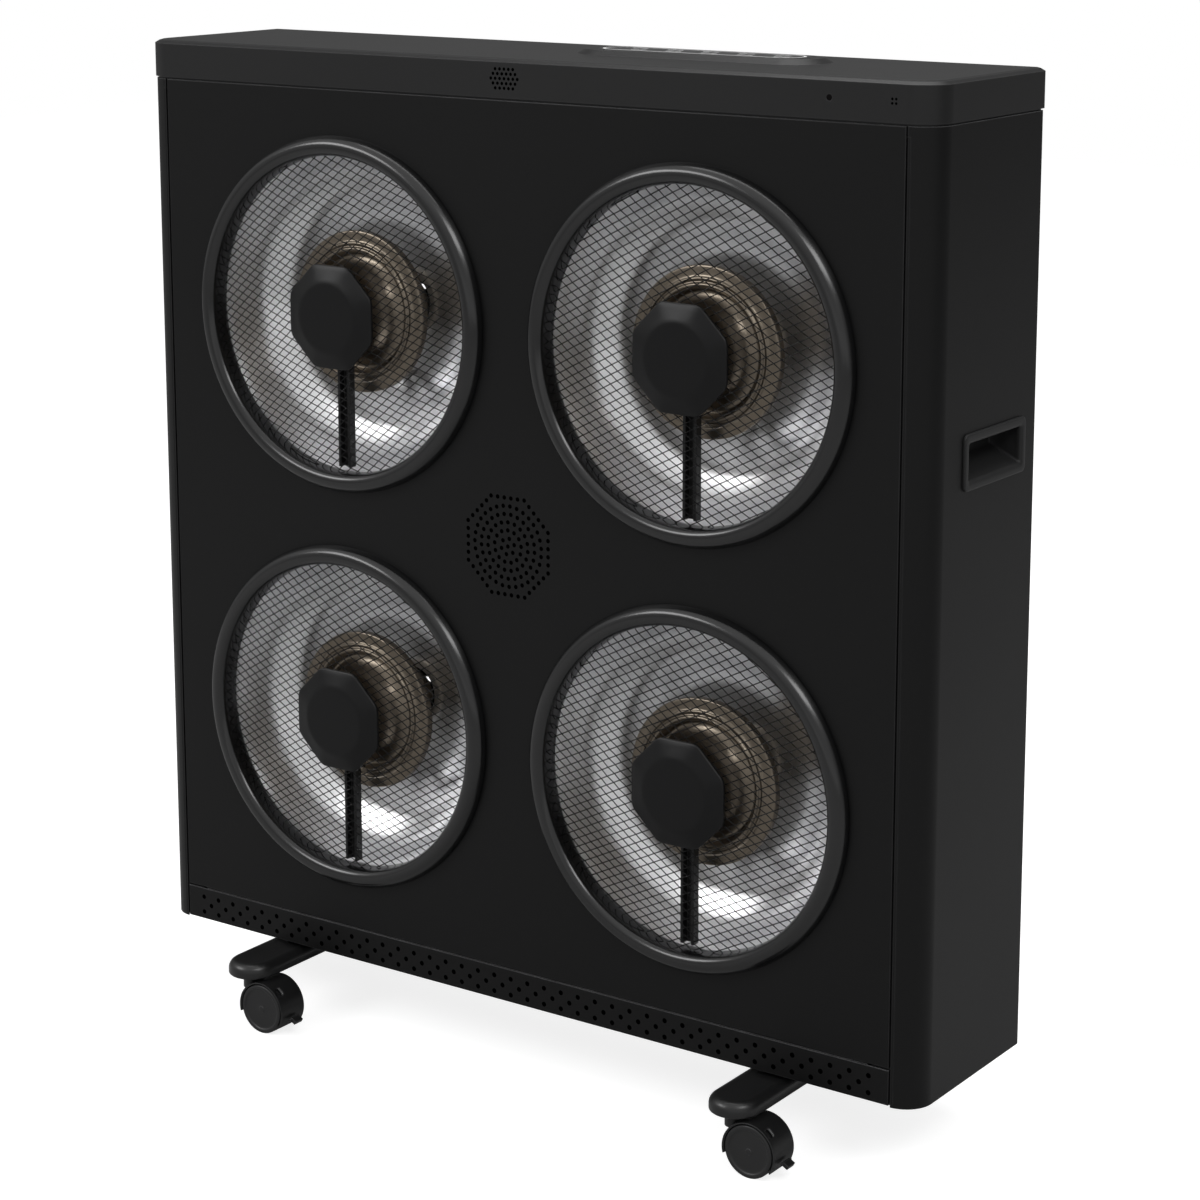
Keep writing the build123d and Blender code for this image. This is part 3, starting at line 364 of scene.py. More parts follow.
class Graph:
    """A node tree that is filled by short calls."""

    def __init__(self, tree: Tree) -> None:
        """Keep the tree that the nodes go into."""
        self.tree = tree

    def feed(self, node: bpy.types.Node, inputs: dict[str | int, Operand]) -> None:
        """Set inputs of a node.

        Args:
            node: The node.
            inputs: For each input a value, or the socket that is linked to it.
        """
        for label, value in inputs.items():
            if isinstance(value, Socket):
                self.tree.links.new(value, node.inputs[label])
            else:
                node.inputs[label].default_value = value

    def node(
        self, kind: str, inputs: dict[str | int, Operand] | None = None, **settings: object
    ) -> bpy.types.Node:
        """Add a node.

        Args:
            kind: Type of the node.
            inputs: Values or sockets for its inputs.
            settings: Its other properties, which are set first.

        Returns:
            The node.
        """
        node = self.tree.nodes.new(kind)
        for name, setting in settings.items():
            setattr(node, name, setting)
        self.feed(node, inputs or {})
        return node

    def math(self, operation: str, first: Operand, second: Operand) -> Socket:
        """Result of a Math node on two numbers or sockets."""
        return self.node("ShaderNodeMath", {0: first, 1: second}, operation=operation).outputs[0]

    def noise(self, where: Operand, scale: Operand, detail: float = 2.0) -> Socket:
        """Result of a Noise Texture node at a position."""
        inputs = {"Vector": where, "Scale": scale, "Detail": detail}
        return self.node("ShaderNodeTexNoise", inputs).outputs["Fac"]

    def mean(self, first: Operand, second: Operand) -> Socket:
        """Half of one value and half of another."""
        return self.math("ADD", self.math("MULTIPLY", first, 0.5), self.math("MULTIPLY", second, 0.5))

    def swing(self, base: Operand, noise: Operand, spread: Operand) -> Socket:
        """A base value, plus a spread times the noise less a half."""
        return self.math("ADD", base, self.math("MULTIPLY", self.math("SUBTRACT", noise, 0.5), spread))

    def toned(self, colour: Place, tone: Operand) -> Socket:
        """A colour times a tone."""
        return self.node("ShaderNodeVectorMath", {0: colour, "Scale": tone}, operation="SCALE").outputs[0]

    def ramp(self, value: Operand, ramp: Ramp) -> Socket:
        """Result of a Map Range node.

        Args:
            value: The value.
            ramp: Values at which the ramp starts and ends, and the results there.

        Returns:
            The node's output.
        """
        (start, end), (first, last) = ramp
        inputs = {"Value": value, "From Min": start, "From Max": end, "To Min": first, "To Max": last}
        return self.node("ShaderNodeMapRange", inputs).outputs[0]


def new_group(
    name: str, inputs: dict[str, float | None], outputs: Sequence[str]
) -> tuple[Graph, bpy.types.NodeOutputs, bpy.types.Node]:
    """Make an empty shader node group. Vector and UV are vectors, Colour is a colour, the rest are numbers.

    Args:
        name: Name of the group.
        inputs: Name of each input and, for a number, its value.
        outputs: Names of the outputs.

    Returns:
        The group's graph, the sockets of its inputs, and the node that takes its outputs.
    """
    kinds = {"Vector": "Vector", "UV": "Vector", "Colour": "Color"}
    tree = bpy.data.node_groups.new(name, "ShaderNodeTree")
    for label, in_out in [(label, "INPUT") for label in inputs] + [(label, "OUTPUT") for label in outputs]:
        kind = "NodeSocket" + kinds.get(label, "Float")
        socket = tree.interface.new_socket(name=label, in_out=in_out, socket_type=kind)
        if in_out == "INPUT" and inputs[label] is not None:
            socket.default_value = inputs[label]
    graph = Graph(tree)
    return graph, graph.node("NodeGroupInput").outputs, graph.node("NodeGroupOutput")


def grain_group() -> Tree:
    """Moulded or sprayed grain: fine noise for height, and a slow drift for roughness and tone.

    Returns:
        The group's tree.
    """
    graph, source, sink = new_group(
        "grain",
        {"Vector": None, "Scale": 900.0, "Roughness": 0.5, "Spread": 0.06, "Tone Spread": 0.1},
        ("Height", "Roughness", "Tone"),
    )
    fine = graph.noise(source["Vector"], source["Scale"], detail=3.0)
    slow = graph.noise(source["Vector"], scale=7.0, detail=4.0)
    roughness = graph.swing(source["Roughness"], graph.mean(fine, slow), source["Spread"])
    tone = graph.swing(1.0, slow, source["Tone Spread"])
    graph.feed(sink, {"Height": fine, "Roughness": roughness, "Tone": tone})
    return graph.tree


def spun_group() -> Tree:
    """Lathe marks of spun sheet: rings that follow the run of the profile, broken by a soft cloud.

    Returns:
        The group's tree.
    """
    graph, source, sink = new_group(
        "spun",
        {"UV": None, "Vector": None, "Pitch": 900.0, "Roughness": 0.25, "Spread": 0.1},
        ("Height", "Roughness", "Tone"),
    )
    along = graph.node("ShaderNodeSeparateXYZ", {0: source["UV"]}).outputs["Y"]
    lines = {"W": graph.math("MULTIPLY", along, source["Pitch"]), "Scale": 1.0, "Detail": 4.0}
    rings = graph.node("ShaderNodeTexNoise", lines, noise_dimensions="1D").outputs["Fac"]
    cloud = graph.noise(source["Vector"], scale=22.0, detail=3.0)
    roughness = graph.swing(source["Roughness"], graph.mean(rings, cloud), source["Spread"])
    graph.feed(sink, {"Height": rings, "Roughness": roughness, "Tone": graph.swing(1.0, cloud, spread=0.3)})
    return graph.tree


@dataclass(frozen=True)
class EdgeHighlightAndWear:
    """Lighter paint on edges, where the normal, rounded over a small radius, leaves the true one: partly rub,
    and partly a painted highlight where edges catch the light.

    A broken cloud thins it, and it is strongest where the rounded normal faces up, which paints the light
    from above onto upper edges.
    """

    radius_m: float = 0.0012
    samples: int = 4
    gain: float = 11.0
    cloud_scale: float = 60.0
    cloud_floor: float = 0.4
    top_light_gain: float = 1.3
    sideways: float = 0.2
    # Lighter grey of the painted edge highlight and rub.
    colour: tuple[float, float, float, float] = (0.15, 0.15, 0.154, 1.0)

    def group(self) -> Tree:
        """Build the group that lays the painted edge highlight and rub over a colour.

        Returns:
            The group's tree.
        """
        inputs = {"Vector": None, "Colour": None, "Amount": 0.5}
        graph, source, sink = new_group("edge_highlight_and_wear", inputs, ("Colour",))
        rolled = graph.node("ShaderNodeBevel", {"Radius": self.radius_m}, samples=self.samples).outputs[0]
        true_normal = graph.node("ShaderNodeNewGeometry").outputs["Normal"]
        match = graph.node("ShaderNodeVectorMath", {0: rolled, 1: true_normal}, operation="DOT_PRODUCT")
        bend = graph.math("MULTIPLY", graph.math("SUBTRACT", 1.0, match.outputs["Value"]), self.gain)
        cloud = graph.math("ADD", self.cloud_floor, graph.noise(source["Vector"], self.cloud_scale))
        broken = graph.math("MULTIPLY", graph.math("MINIMUM", bend, 1.0), cloud)
        # Painted light from above: the lighter paint grows on edges whose rounded normal faces up.
        up = graph.node("ShaderNodeSeparateXYZ", {0: rolled}).outputs["Z"]
        top_light = graph.math("MULTIPLY", graph.math("MAXIMUM", up, 0.0), self.top_light_gain)
        broken = graph.math("MULTIPLY", broken, graph.math("ADD", self.sideways, top_light))
        share = graph.math("MULTIPLY", broken, source["Amount"])
        layers = {"Factor": share, "A": source["Colour"], "B": self.colour}
        mixed = graph.node("ShaderNodeMix", layers, data_type="RGBA").outputs["Result"]
        graph.feed(sink, {"Colour": mixed})
        return graph.tree


def new_material(name: str, constants: dict[str | int, Operand]) -> tuple[Material, Graph, bpy.types.Node]:
    """Make a material.

    Args:
        name: Name of the material.
        constants: Values on its shader that are the same all over.

    Returns:
        The material, its graph and its Principled shader.
    """
    material = bpy.data.materials.new(name)
    material.use_nodes = True
    graph = Graph(material.node_tree)
    shader = material.node_tree.nodes["Principled BSDF"]
    graph.feed(shader, constants)
    return material, graph, shader


@dataclass(frozen=True)
class Finish:
    """One finish: a colour, a sheen and the grain or lathe marks in it."""

    slot: Slot
    colour: Place
    roughness: float = 0.5
    metallic: float = 0.0
    specular: float = 0.5
    grain: float = 900.0
    spread: float = 0.12
    tone_spread: float = 0.16
    bump_depth: float = 0.00003
    spun: bool = False
    ring_pitch: float = 900.0
    # Amount of the lighter paint on edges: painted highlight and rub.
    highlight_and_wear: float = 0.0

    def material(self, groups: dict[str, Tree]) -> Material:
        """Build the material from the shared groups.

        Args:
            groups: The shared node groups by name.

        Returns:
            The new material.
        """
        material, graph, shader = new_material(
            self.slot.value, {"Metallic": self.metallic, "Specular IOR Level": self.specular}
        )
        where = graph.node("ShaderNodeTexCoord").outputs
        inputs = {"Vector": where["Object"], "Roughness": self.roughness, "Spread": self.spread}
        if self.spun:
            inputs |= {"UV": where["UV"], "Pitch": self.ring_pitch}
        else:
            inputs |= {"Scale": self.grain, "Tone Spread": self.tone_spread}
        source = groups["spun" if self.spun else "grain"]
        texture = graph.node("ShaderNodeGroup", inputs, node_tree=source).outputs
        colour = graph.toned(self.colour, texture["Tone"])
        # Lighter paint on the edges: painted highlight and rub.
        if self.highlight_and_wear:
            inputs = {"Vector": where["Object"], "Colour": colour, "Amount": self.highlight_and_wear}
            colour = graph.node("ShaderNodeGroup", inputs, node_tree=groups["edge_highlight_and_wear"]).outputs["Colour"]
        inputs = {"Distance": self.bump_depth, "Height": texture["Height"]}
        bump = graph.node("ShaderNodeBump", inputs).outputs[0]
        graph.feed(shader, {"Base Color": colour, "Roughness": texture["Roughness"], "Normal": bump})
        return material


FINISHES = (
    # The last number of some finishes gives lighter paint on their edges: painted highlight and rub.
    Finish(Slot.CABINET, (0.0037, 0.0037, 0.0038), roughness=0.4, specular=0.16, grain=1400.0, highlight_and_wear=0.6),
    Finish(Slot.CAP, (0.0092, 0.0092, 0.0094), roughness=0.38, specular=0.25, grain=1400.0, highlight_and_wear=0.3),
    Finish(Slot.GRIP, (0.0165, 0.0165, 0.0168), roughness=0.4, specular=0.16, grain=1100.0, highlight_and_wear=0.2),
    Finish(Slot.OVERLAY, (0.026, 0.026, 0.027), roughness=0.3, specular=0.3, spread=0.04, bump_depth=5e-6),
    Finish(Slot.BOARD, (0.02, 0.12, 0.05), roughness=0.45),
    Finish(Slot.LENS, (0.002, 0.0015, 0.0015), roughness=0.2, specular=0.08, bump_depth=2e-6),
    Finish(Slot.INNER, (0.004, 0.004, 0.004), specular=0.2),
    Finish(Slot.CERAMIC, (0.7, 0.66, 0.58), roughness=0.7, grain=700.0, bump_depth=1e-4),
    Finish(Slot.FOOT, (0.0065, 0.0065, 0.0067), roughness=0.32, specular=0.42, grain=1200.0),
    Finish(Slot.FASTENER, (0.5, 0.5, 0.52), roughness=0.35, metallic=1.0),
    Finish(Slot.BEZEL, (0.0034, 0.0034, 0.0036), roughness=0.21, grain=1600.0, bump_depth=2e-5),
    Finish(Slot.GUARD, (0.017, 0.017, 0.0175), roughness=0.28, metallic=1.0, grain=600.0, tone_spread=0.6),
    Finish(Slot.DISH, (0.86, 0.86, 0.87), roughness=0.31, metallic=1.0, spun=True, bump_depth=4e-6),
    Finish(Slot.BRONZE, (0.185, 0.157, 0.124), roughness=0.29, metallic=1.0, spun=True, bump_depth=4e-6),
    Finish(Slot.ELEMENT, (0.2, 0.19, 0.18), roughness=0.4, metallic=1.0),
    Finish(Slot.CENTRE, (0.0024, 0.0024, 0.0026), roughness=0.38, specular=0.19, grain=1500.0, highlight_and_wear=0.5),
    Finish(Slot.CHANNEL, (0.006, 0.006, 0.006), roughness=0.35, specular=0.3),
    Finish(Slot.CASTOR, (0.0065, 0.0065, 0.0067), roughness=0.36, specular=0.38, grain=1300.0, highlight_and_wear=0.3),
    Finish(Slot.WHEEL, (0.0105, 0.0105, 0.0108), roughness=0.42, specular=0.36, grain=1300.0, highlight_and_wear=0.3),
    Finish(Slot.LEVER, (0.0075, 0.0075, 0.0077), roughness=0.4, specular=0.4, grain=1300.0, highlight_and_wear=0.3),
)


class Palette:
    """Builds each finish once and dresses pieces with it."""

    def __init__(self) -> None:
        """Build the shared groups and all the materials."""
        groups = {"grain": grain_group(), "spun": spun_group(), "edge_highlight_and_wear": EdgeHighlightAndWear().group()}
        self.materials = {finish.slot: finish.material(groups) for finish in FINISHES}
        # Near-black paint of the hole cups: painted shade of the dark inside the holes.
        self.hole_shade = self.plain("vent_shadow", 0.0003, 0.9, 0.0)
        self.mark = self.plain("printed_mark", 0.6, 0.5, 0.1)

    @staticmethod
    def plain(name: str, grey: float, roughness: float, specular: float) -> Material:
        """Make a small trim material whose tone varies a little.

        Args:
            name: Name of the material.
            grey: Its mean colour.
            roughness: Its roughness.
            specular: Its specular level.

        Returns:
            The material.
        """
        material, graph, shader = new_material(name, {"Roughness": roughness, "Specular IOR Level": specular})
        where = graph.node("ShaderNodeTexCoord").outputs["Object"]
        tone = graph.swing(1.0, graph.noise(where, scale=400.0), spread=0.5)
        graph.feed(shader, {"Base Color": graph.toned((grey, grey, grey), tone)})
        return material

    def dress(
        self, piece: Piece, slot: Slot, body: str, *nodes: str, trim: Material | None = None
    ) -> None:
        """Give a piece its finish, its body and the nodes it stands for.

        Args:
            piece: The piece.
            slot: The record's slot.
            body: CAD body that it rides on.
            nodes: CAD nodes that it replaces.
            trim: Material that it shows in place of the slot's own.
        """
        piece.data.materials.clear()
        piece.data.materials.append(trim or self.materials[slot])
        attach(piece, body)
        if nodes:
            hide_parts(*nodes)
        LOG.info("%s on %s in %s", piece.name, body, slot.value)

    def repaint_nodes(self, record: dict) -> None:
        """Give every CAD node that stays the finish of its slot.

        Args:
            record: The part's record.
        """
        for entry in record["subparts"]:
            materials = frame["nodes"][entry["node"]].data.materials
            materials.clear()
            materials.append(self.materials[Slot(entry["material_slot"])])


# ---- heater modules -----------------------------------------------------------------------------------


@dataclass
class HeaterModule:
    """One dish behind its guard, with the bronze bell, the centre cap and the lead channel."""

    key: str
    centre_x: float
    centre_z: float
    wire_angles: Point
    wire_pitches: Point
    ring_sides: int = 144
    bell_sides: int = 96
    dish_wall: float = 0.8
    channel_roll: float = 0.4
    bore_radius: float = 123.0
    net_gap: float = 0.3
    net_steps: int = 120
    net_crease: float = 75.0
    shortest_run: float = 0.02
    wire_radius: float = 0.42
    wire_sides: int = 6
    weave: float = 0.34
    crown_height: float = 7.42
    crown_fall: float = 10.0
    cap_corners: int = 8
    cap_crease: float = 50.0
    cap_half_width: float = 40.0
    cap_corner_roll: float = 0.9
    cap_roll_power: int = 10
    cap_side_steps: int = 16
    cap_face_radius: float = 27.5
    cap_least_radius: float = 3.0
    cap_rings: tuple[Place, ...] = (
        (1.0, 40.0, 8.6), (1.0, 0.3, 8.6), (1.0, 0.0, 8.9), (1.0, 0.0, 10.6), (1.0, 0.1, 11.0),
        (1.0, 0.4, 11.3), (0.93, 0.0, 11.6), (0.7, 0.0, 12.7), (0.45, 0.0, 13.9), (0.2, 0.0, 15.1),
        (0.07, 0.0, 15.72), (0.0, 0.25, 16.0), (0.0, 1.0, 16.15), (0.0, 3.0, 16.2), (0.0, 27.5, 16.2),
    )  # fmt: skip
    ring_outline: tuple[Point, ...] = (
        (138.5, 0.0), (138.5, 1.6), (137.2, 5.6), (134.2, 8.9), (130.6, 9.9), (126.8, 9.5),
        (124.0, 7.2), (123.0, 3.6), (123.0, -8.0), (125.2, -8.0), (125.2, 0.0),
    )  # fmt: skip
    dish_lip: Point = (130.9, -8.1)
    dish_outline: tuple[Point, ...] = (
        (123.0, -8.1), (120.4, -13.0), (116.0, -24.0), (110.5, -35.0), (101.0, -43.0), (91.0, -49.5),
        (84.0, -58.0), (76.0, -69.0), (64.0, -78.5), (45.0, -83.9), (22.0, -83.9),
    )  # fmt: skip
    hub_face: tuple[Point, ...] = ((0.0, 5.4), (29.6, 5.4), (30.0, 5.0))
    hub_inside: Point = (0.0, -25.5)
    bell_outline: tuple[Point, ...] = (
        (30.0, -6.0), (31.0, -13.0), (34.2, -20.0), (38.5, -25.4), (43.2, -27.9), (45.4, -26.4),
        (46.4, -21.6), (47.9, -19.4), (49.8, -19.3), (51.0, -21.0), (52.0, -21.2), (52.9, -20.0),
        (54.2, -20.1), (55.2, -21.4), (58.0, -21.9), (61.8, -22.3), (63.2, -22.9), (63.2, -24.4),
        (63.2, -30.0), (61.2, -30.0), (59.0, -23.4), (50.0, -23.4), (45.2, -30.0), (21.0, -30.0),
        (21.0, -83.8), (19.6, -83.8), (19.6, -25.5),
    )  # fmt: skip

    def to_cabinet(self, points: np.ndarray) -> np.ndarray:
        """Carry module points into the row frame: x to the right, y up, z out of the front."""
        return joined(self.centre_x + points[:, 0], FRONT_Y - points[:, 2], self.centre_z + points[:, 1])

    def bezel(self) -> Piece:
        """Rolled ring: its outline, softened, turned about the module axis."""
        ring = revolve(f"bezel_round_{self.key}", rounded(self.ring_outline), self.ring_sides, closed=True)
        return place(ring, self.to_cabinet)

    def dish(self) -> Piece:
        """Spun reflector: a flat lip and the softened outline, turned about the axis, with a thin wall.

        Returns:
            The piece.
        """
        profile = np.vstack((self.dish_lip, rounded(self.dish_outline, passes=3)))
        shell = place(revolve(f"dish_spun_{self.key}", profile, self.ring_sides), self.to_cabinet)
        face_towards(shell, (self.centre_x * MM, FRONT_Y * MM, self.centre_z * MM))
        return walled(shell, "sheet", self.dish_wall)

    def bell(self) -> Piece:
        """Bronze bell: hub, flare, valley, two rolled ribs and flange, turned about the axis."""
        profile = np.vstack((self.hub_face, rounded(self.bell_outline), self.hub_inside))
        return place(revolve(f"bell_spun_{self.key}", profile, self.bell_sides), self.to_cabinet)

    def cap(self) -> Piece:
        """Centre cap: eight bevels that blend from an octagon into a round face.

        At angle a, with b the part of a left over from the middle of its side, the octagon's radius is its
        half width over cos b, less the corner roll times (b over its greatest value) to a high power. A ring
        has a share, an inset and a level, and the radius share * octagon + (1 - share) * face radius - inset.
        The last ring has no radius, which closes the face.

        Returns:
            The piece.
        """
        angles = np.linspace(0, FULL_TURN, self.cap_corners * self.cap_side_steps, endpoint=False)
        reach = math.pi / self.cap_corners
        within = (angles + reach) % (2 * reach) - reach
        roll = self.cap_corner_roll * (np.abs(within) / reach) ** self.cap_roll_power
        octagon = self.cap_half_width / np.cos(within) - roll
        share, inset, level = (column[:, None] for column in np.array(self.cap_rings).T)
        radius = np.maximum(share * octagon + (1 - share) * self.cap_face_radius - inset, 0.0)
        radius = radius * (radius > self.cap_least_radius)
        rings = joined(radius * np.cos(angles), radius * np.sin(angles), level)
        return place(stacked(f"centre_boss_{self.key}", rings, crease=self.cap_crease), self.to_cabinet)

    def net(self) -> Piece:
        """Woven guard: two families of wires that cross at a slant over a dome.

        The wires of a family run along a direction and stand a pitch apart along its normal. A point p of
        wire i lies at the crown height, less the fall times (its radius over the bore radius) squared, plus
        or minus the weave times cos(pi * (i + p . m / q)), where m and q are the normal and the pitch of
        the other family. The sign is plus for one family and minus for the other, so the wires pass over
        and under each other. Points are taken at each crossing and half way between, as far as the bore.
        Each wire is a tube about that line, closed at both ends.

        Returns:
            The piece.
        """
        reach = self.bore_radius - self.net_gap
        turns = np.radians(self.wire_angles)
        directions = joined(np.cos(turns), np.sin(turns))
        normals = joined(-np.sin(turns), np.cos(turns))
        round_wire = np.linspace(0, FULL_TURN, self.wire_sides, endpoint=False)
        sides = np.arange(self.wire_sides)
        after = (sides + 1) % self.wire_sides
        halves = np.arange(-self.net_steps, self.net_steps + 1) / 2
        all_points, tubes, caps, first = [], [], [], 0
        for way, sign in ((0, 1.0), (1, -1.0)):
            along, normal, other = directions[way], normals[way], normals[1 - way]
            pitch, other_pitch = self.wire_pitches[way], self.wire_pitches[1 - way]
            slant, lean = float(along @ other), float(normal @ other)
            numbers = np.arange(-int(reach / pitch), int(reach / pitch) + 1)
            offsets = numbers * pitch
            half = np.sqrt(reach**2 - offsets**2)[:, None]
            run = halves[None, :] * other_pitch / abs(slant) - offsets[:, None] * lean / slant
            run = np.clip(run, -half, half)
            flat = run[..., None] * along + offsets[:, None, None] * normal
            phase = numbers[:, None] + flat @ other / other_pitch
            fall = self.crown_fall * (np.linalg.norm(flat, axis=-1) / self.bore_radius) ** 2
            height = self.crown_height - fall + sign * self.weave * np.cos(math.pi * phase)
            tube = flat[:, :, None, :] + self.wire_radius * np.cos(round_wire)[:, None] * normal
            lift = height[:, :, None] + self.wire_radius * np.sin(round_wire)
            points = np.concatenate((tube, lift[..., None]), -1)
            live = np.diff(run, axis=1) > self.shortest_run
            wire, step = np.nonzero(live)
            base = ((wire * len(halves) + step) * self.wire_sides)[:, None] + first
            ahead = base + self.wire_sides
            tubes.append(joined(base + sides, base + after, ahead + after, ahead + sides).reshape(-1, 4))
            rows = np.arange(len(numbers)) * len(halves)
            for index in (live.argmax(1), len(halves) - 1 - live[:, ::-1].argmax(1)):
                caps.append(((rows + index) * self.wire_sides)[:, None] + sides + first)
            all_points.append(points.reshape(-1, 3))
            first += points.size // 3
        tubes, caps = np.vstack(tubes), np.vstack(caps)
        used = np.unique(tubes)
        faces = np.searchsorted(used, tubes).tolist() + np.searchsorted(used, caps).tolist()
        net = make_piece(f"guard_net_{self.key}", np.vstack(all_points)[used], faces, self.net_crease)
        return mended(place(net, self.to_cabinet), merge=False)

    def build(self, palette: Palette) -> None:
        """Build and dress the module's pieces.

        Args:
            palette: The finishes.
        """
        for piece, slot, node in (
            (self.bezel(), Slot.BEZEL, "bezel_ring"),
            (self.dish(), Slot.DISH, "reflector"),
            (self.bell(), Slot.BRONZE, "emitter_bell"),
            (self.net(), Slot.GUARD, "wire_guard"),
            (self.cap(), Slot.CENTRE, "centre_cap"),
        ):
            palette.dress(piece, slot, BODY, f"{node}_{self.key}")
        channel = softened(f"lead_channel_{self.key}", f"cable_channel_{self.key}", self.channel_roll)
        palette.dress(channel, Slot.CHANNEL, BODY)


# ---- cabinet ------------------------------------------------------------------------------------------


@dataclass
class PunchedHoles:
    """Small punched holes in a sheet: each a shallow cup, painted near-black as painted shade of the dark
    inside the hole, with a rolled lip that stands a hair proud.
    """

    name: str
    radius: float
    face_y: float = FRONT_Y
    sides: int = 14
    lip: tuple[Point, ...] = ((0.25, 0.0), (0.12, 0.05), (0.0, 0.06))
    floor_share: float = 0.8
    floor_rise: float = 0.02

    @staticmethod
    def rows(rows: Sequence[tuple[float, int]], pitch: float) -> np.ndarray:
        """Centres of holes in level rows, each row about the middle.

        Args:
            rows: Height and number of holes of each row.
            pitch: Distance between neighbours in a row.

        Returns:
            Array of (n, 2) x and z positions.
        """
        return np.vstack([joined((np.arange(count) - (count - 1) / 2) * pitch, z) for z, count in rows])

    def build(self, palette: Palette, slot: Slot, centres: np.ndarray) -> None:
        """Build and dress the holes.

        A hole's point at angle a and ring n is its centre plus the ring's radius times (cos a, sin a), and
        it stands proud of the sheet by the ring's height.

        Args:
            palette: The finishes.
            slot: Slot of the sheet.
            centres: Array of (n, 2) x and z positions.
        """
        rings = [(self.radius + out, rise) for out, rise in self.lip]
        rings += [(self.radius * self.floor_share, self.floor_rise), (0.0, self.floor_rise)]
        radii, rises = np.array(rings)[:, :1], np.array(rings)[:, 1:]
        angles = np.linspace(0, FULL_TURN, self.sides, endpoint=False)
        cup = joined(radii * np.cos(angles), -rises, radii * np.sin(angles))
        spots = joined(centres[:, 0], self.face_y, centres[:, 1])
        starts = np.arange(len(centres)) * self.sides * len(rings)
        faces = (starts[:, None, None] + grid_faces(len(rings), self.sides, wrap=True)).reshape(-1, 4)
        piece = mended(make_piece(self.name, spots[:, None, None, :] + cup, faces), orient=False)
        face_towards(piece, FAR_FRONT)
        # The cups take the near-black painted shade in place of the sheet's finish.
        palette.dress(piece, slot, BODY, trim=palette.hole_shade)


@dataclass
class Cabinet:
    """Sheet cabinet: its painted panels with rolled edges, and the fine perforations in them."""

    hole_radius: float = 1.45
    vent_radius: float = 1.72
    ring_pitch: float = 6.2
    ring_counts: tuple[int, ...] = (6, 13, 19, 25, 31)
    ring_turn: float = 0.3
    edges: int = 8
    edge_holes: int = 5
    vent_pitch: float = 15.85
    vent_rows: tuple[tuple[float, int], ...] = ((77.2, 41), (70.7, 40), (64.3, 41))
    soft_edges: tuple[tuple[str, float], ...] = (
        ("front_panel", 0.58),
        ("rear_panel", 0.3),
        ("side_panel_left", 0.45),
        ("side_panel_right", 0.45),
        ("base_tray", 0.55),
    )

    def centre_holes(self) -> np.ndarray:
        """Centres of the perforation in the middle of the front: a hole, some rings and an octagon.

        Each ring is turned against the one before, and each side of the octagon is split into equal steps.

        Returns:
            Array of (n, 2) x and z positions.
        """
        spots = [np.zeros((1, 2))]
        for ring, count in enumerate(self.ring_counts, start=1):
            angles = np.linspace(0, FULL_TURN, count, endpoint=False) + self.ring_turn * ring
            spots.append(ring * self.ring_pitch * joined(np.cos(angles), np.sin(angles)))
        turns = np.radians((np.arange(self.edges + 1) + 0.5) * 360 / self.edges)
        corner = (len(self.ring_counts) + 1) * self.ring_pitch / math.cos(math.pi / self.edges)
        corners = corner * joined(np.cos(turns), np.sin(turns))
        share = np.arange(self.edge_holes)[None, :, None] / self.edge_holes
        spots.append((corners[:-1, None] * (1 - share) + corners[1:, None] * share).reshape(-1, 2))
        return np.vstack(spots) + (0.0, PANEL_CENTRE_Z)

    def build(self, palette: Palette) -> None:
        """Build and dress the panels and their perforations.

        Args:
            palette: The finishes.
        """
        for node, radius in self.soft_edges:
            palette.dress(softened(f"{node}_sheet", node, radius), Slot.CABINET, BODY)
        vents = PunchedHoles.rows(self.vent_rows, self.vent_pitch)
        PunchedHoles("front_perforation", self.hole_radius).build(palette, Slot.CABINET, self.centre_holes())
        PunchedHoles("plinth_vents", self.vent_radius).build(palette, Slot.CABINET, vents)


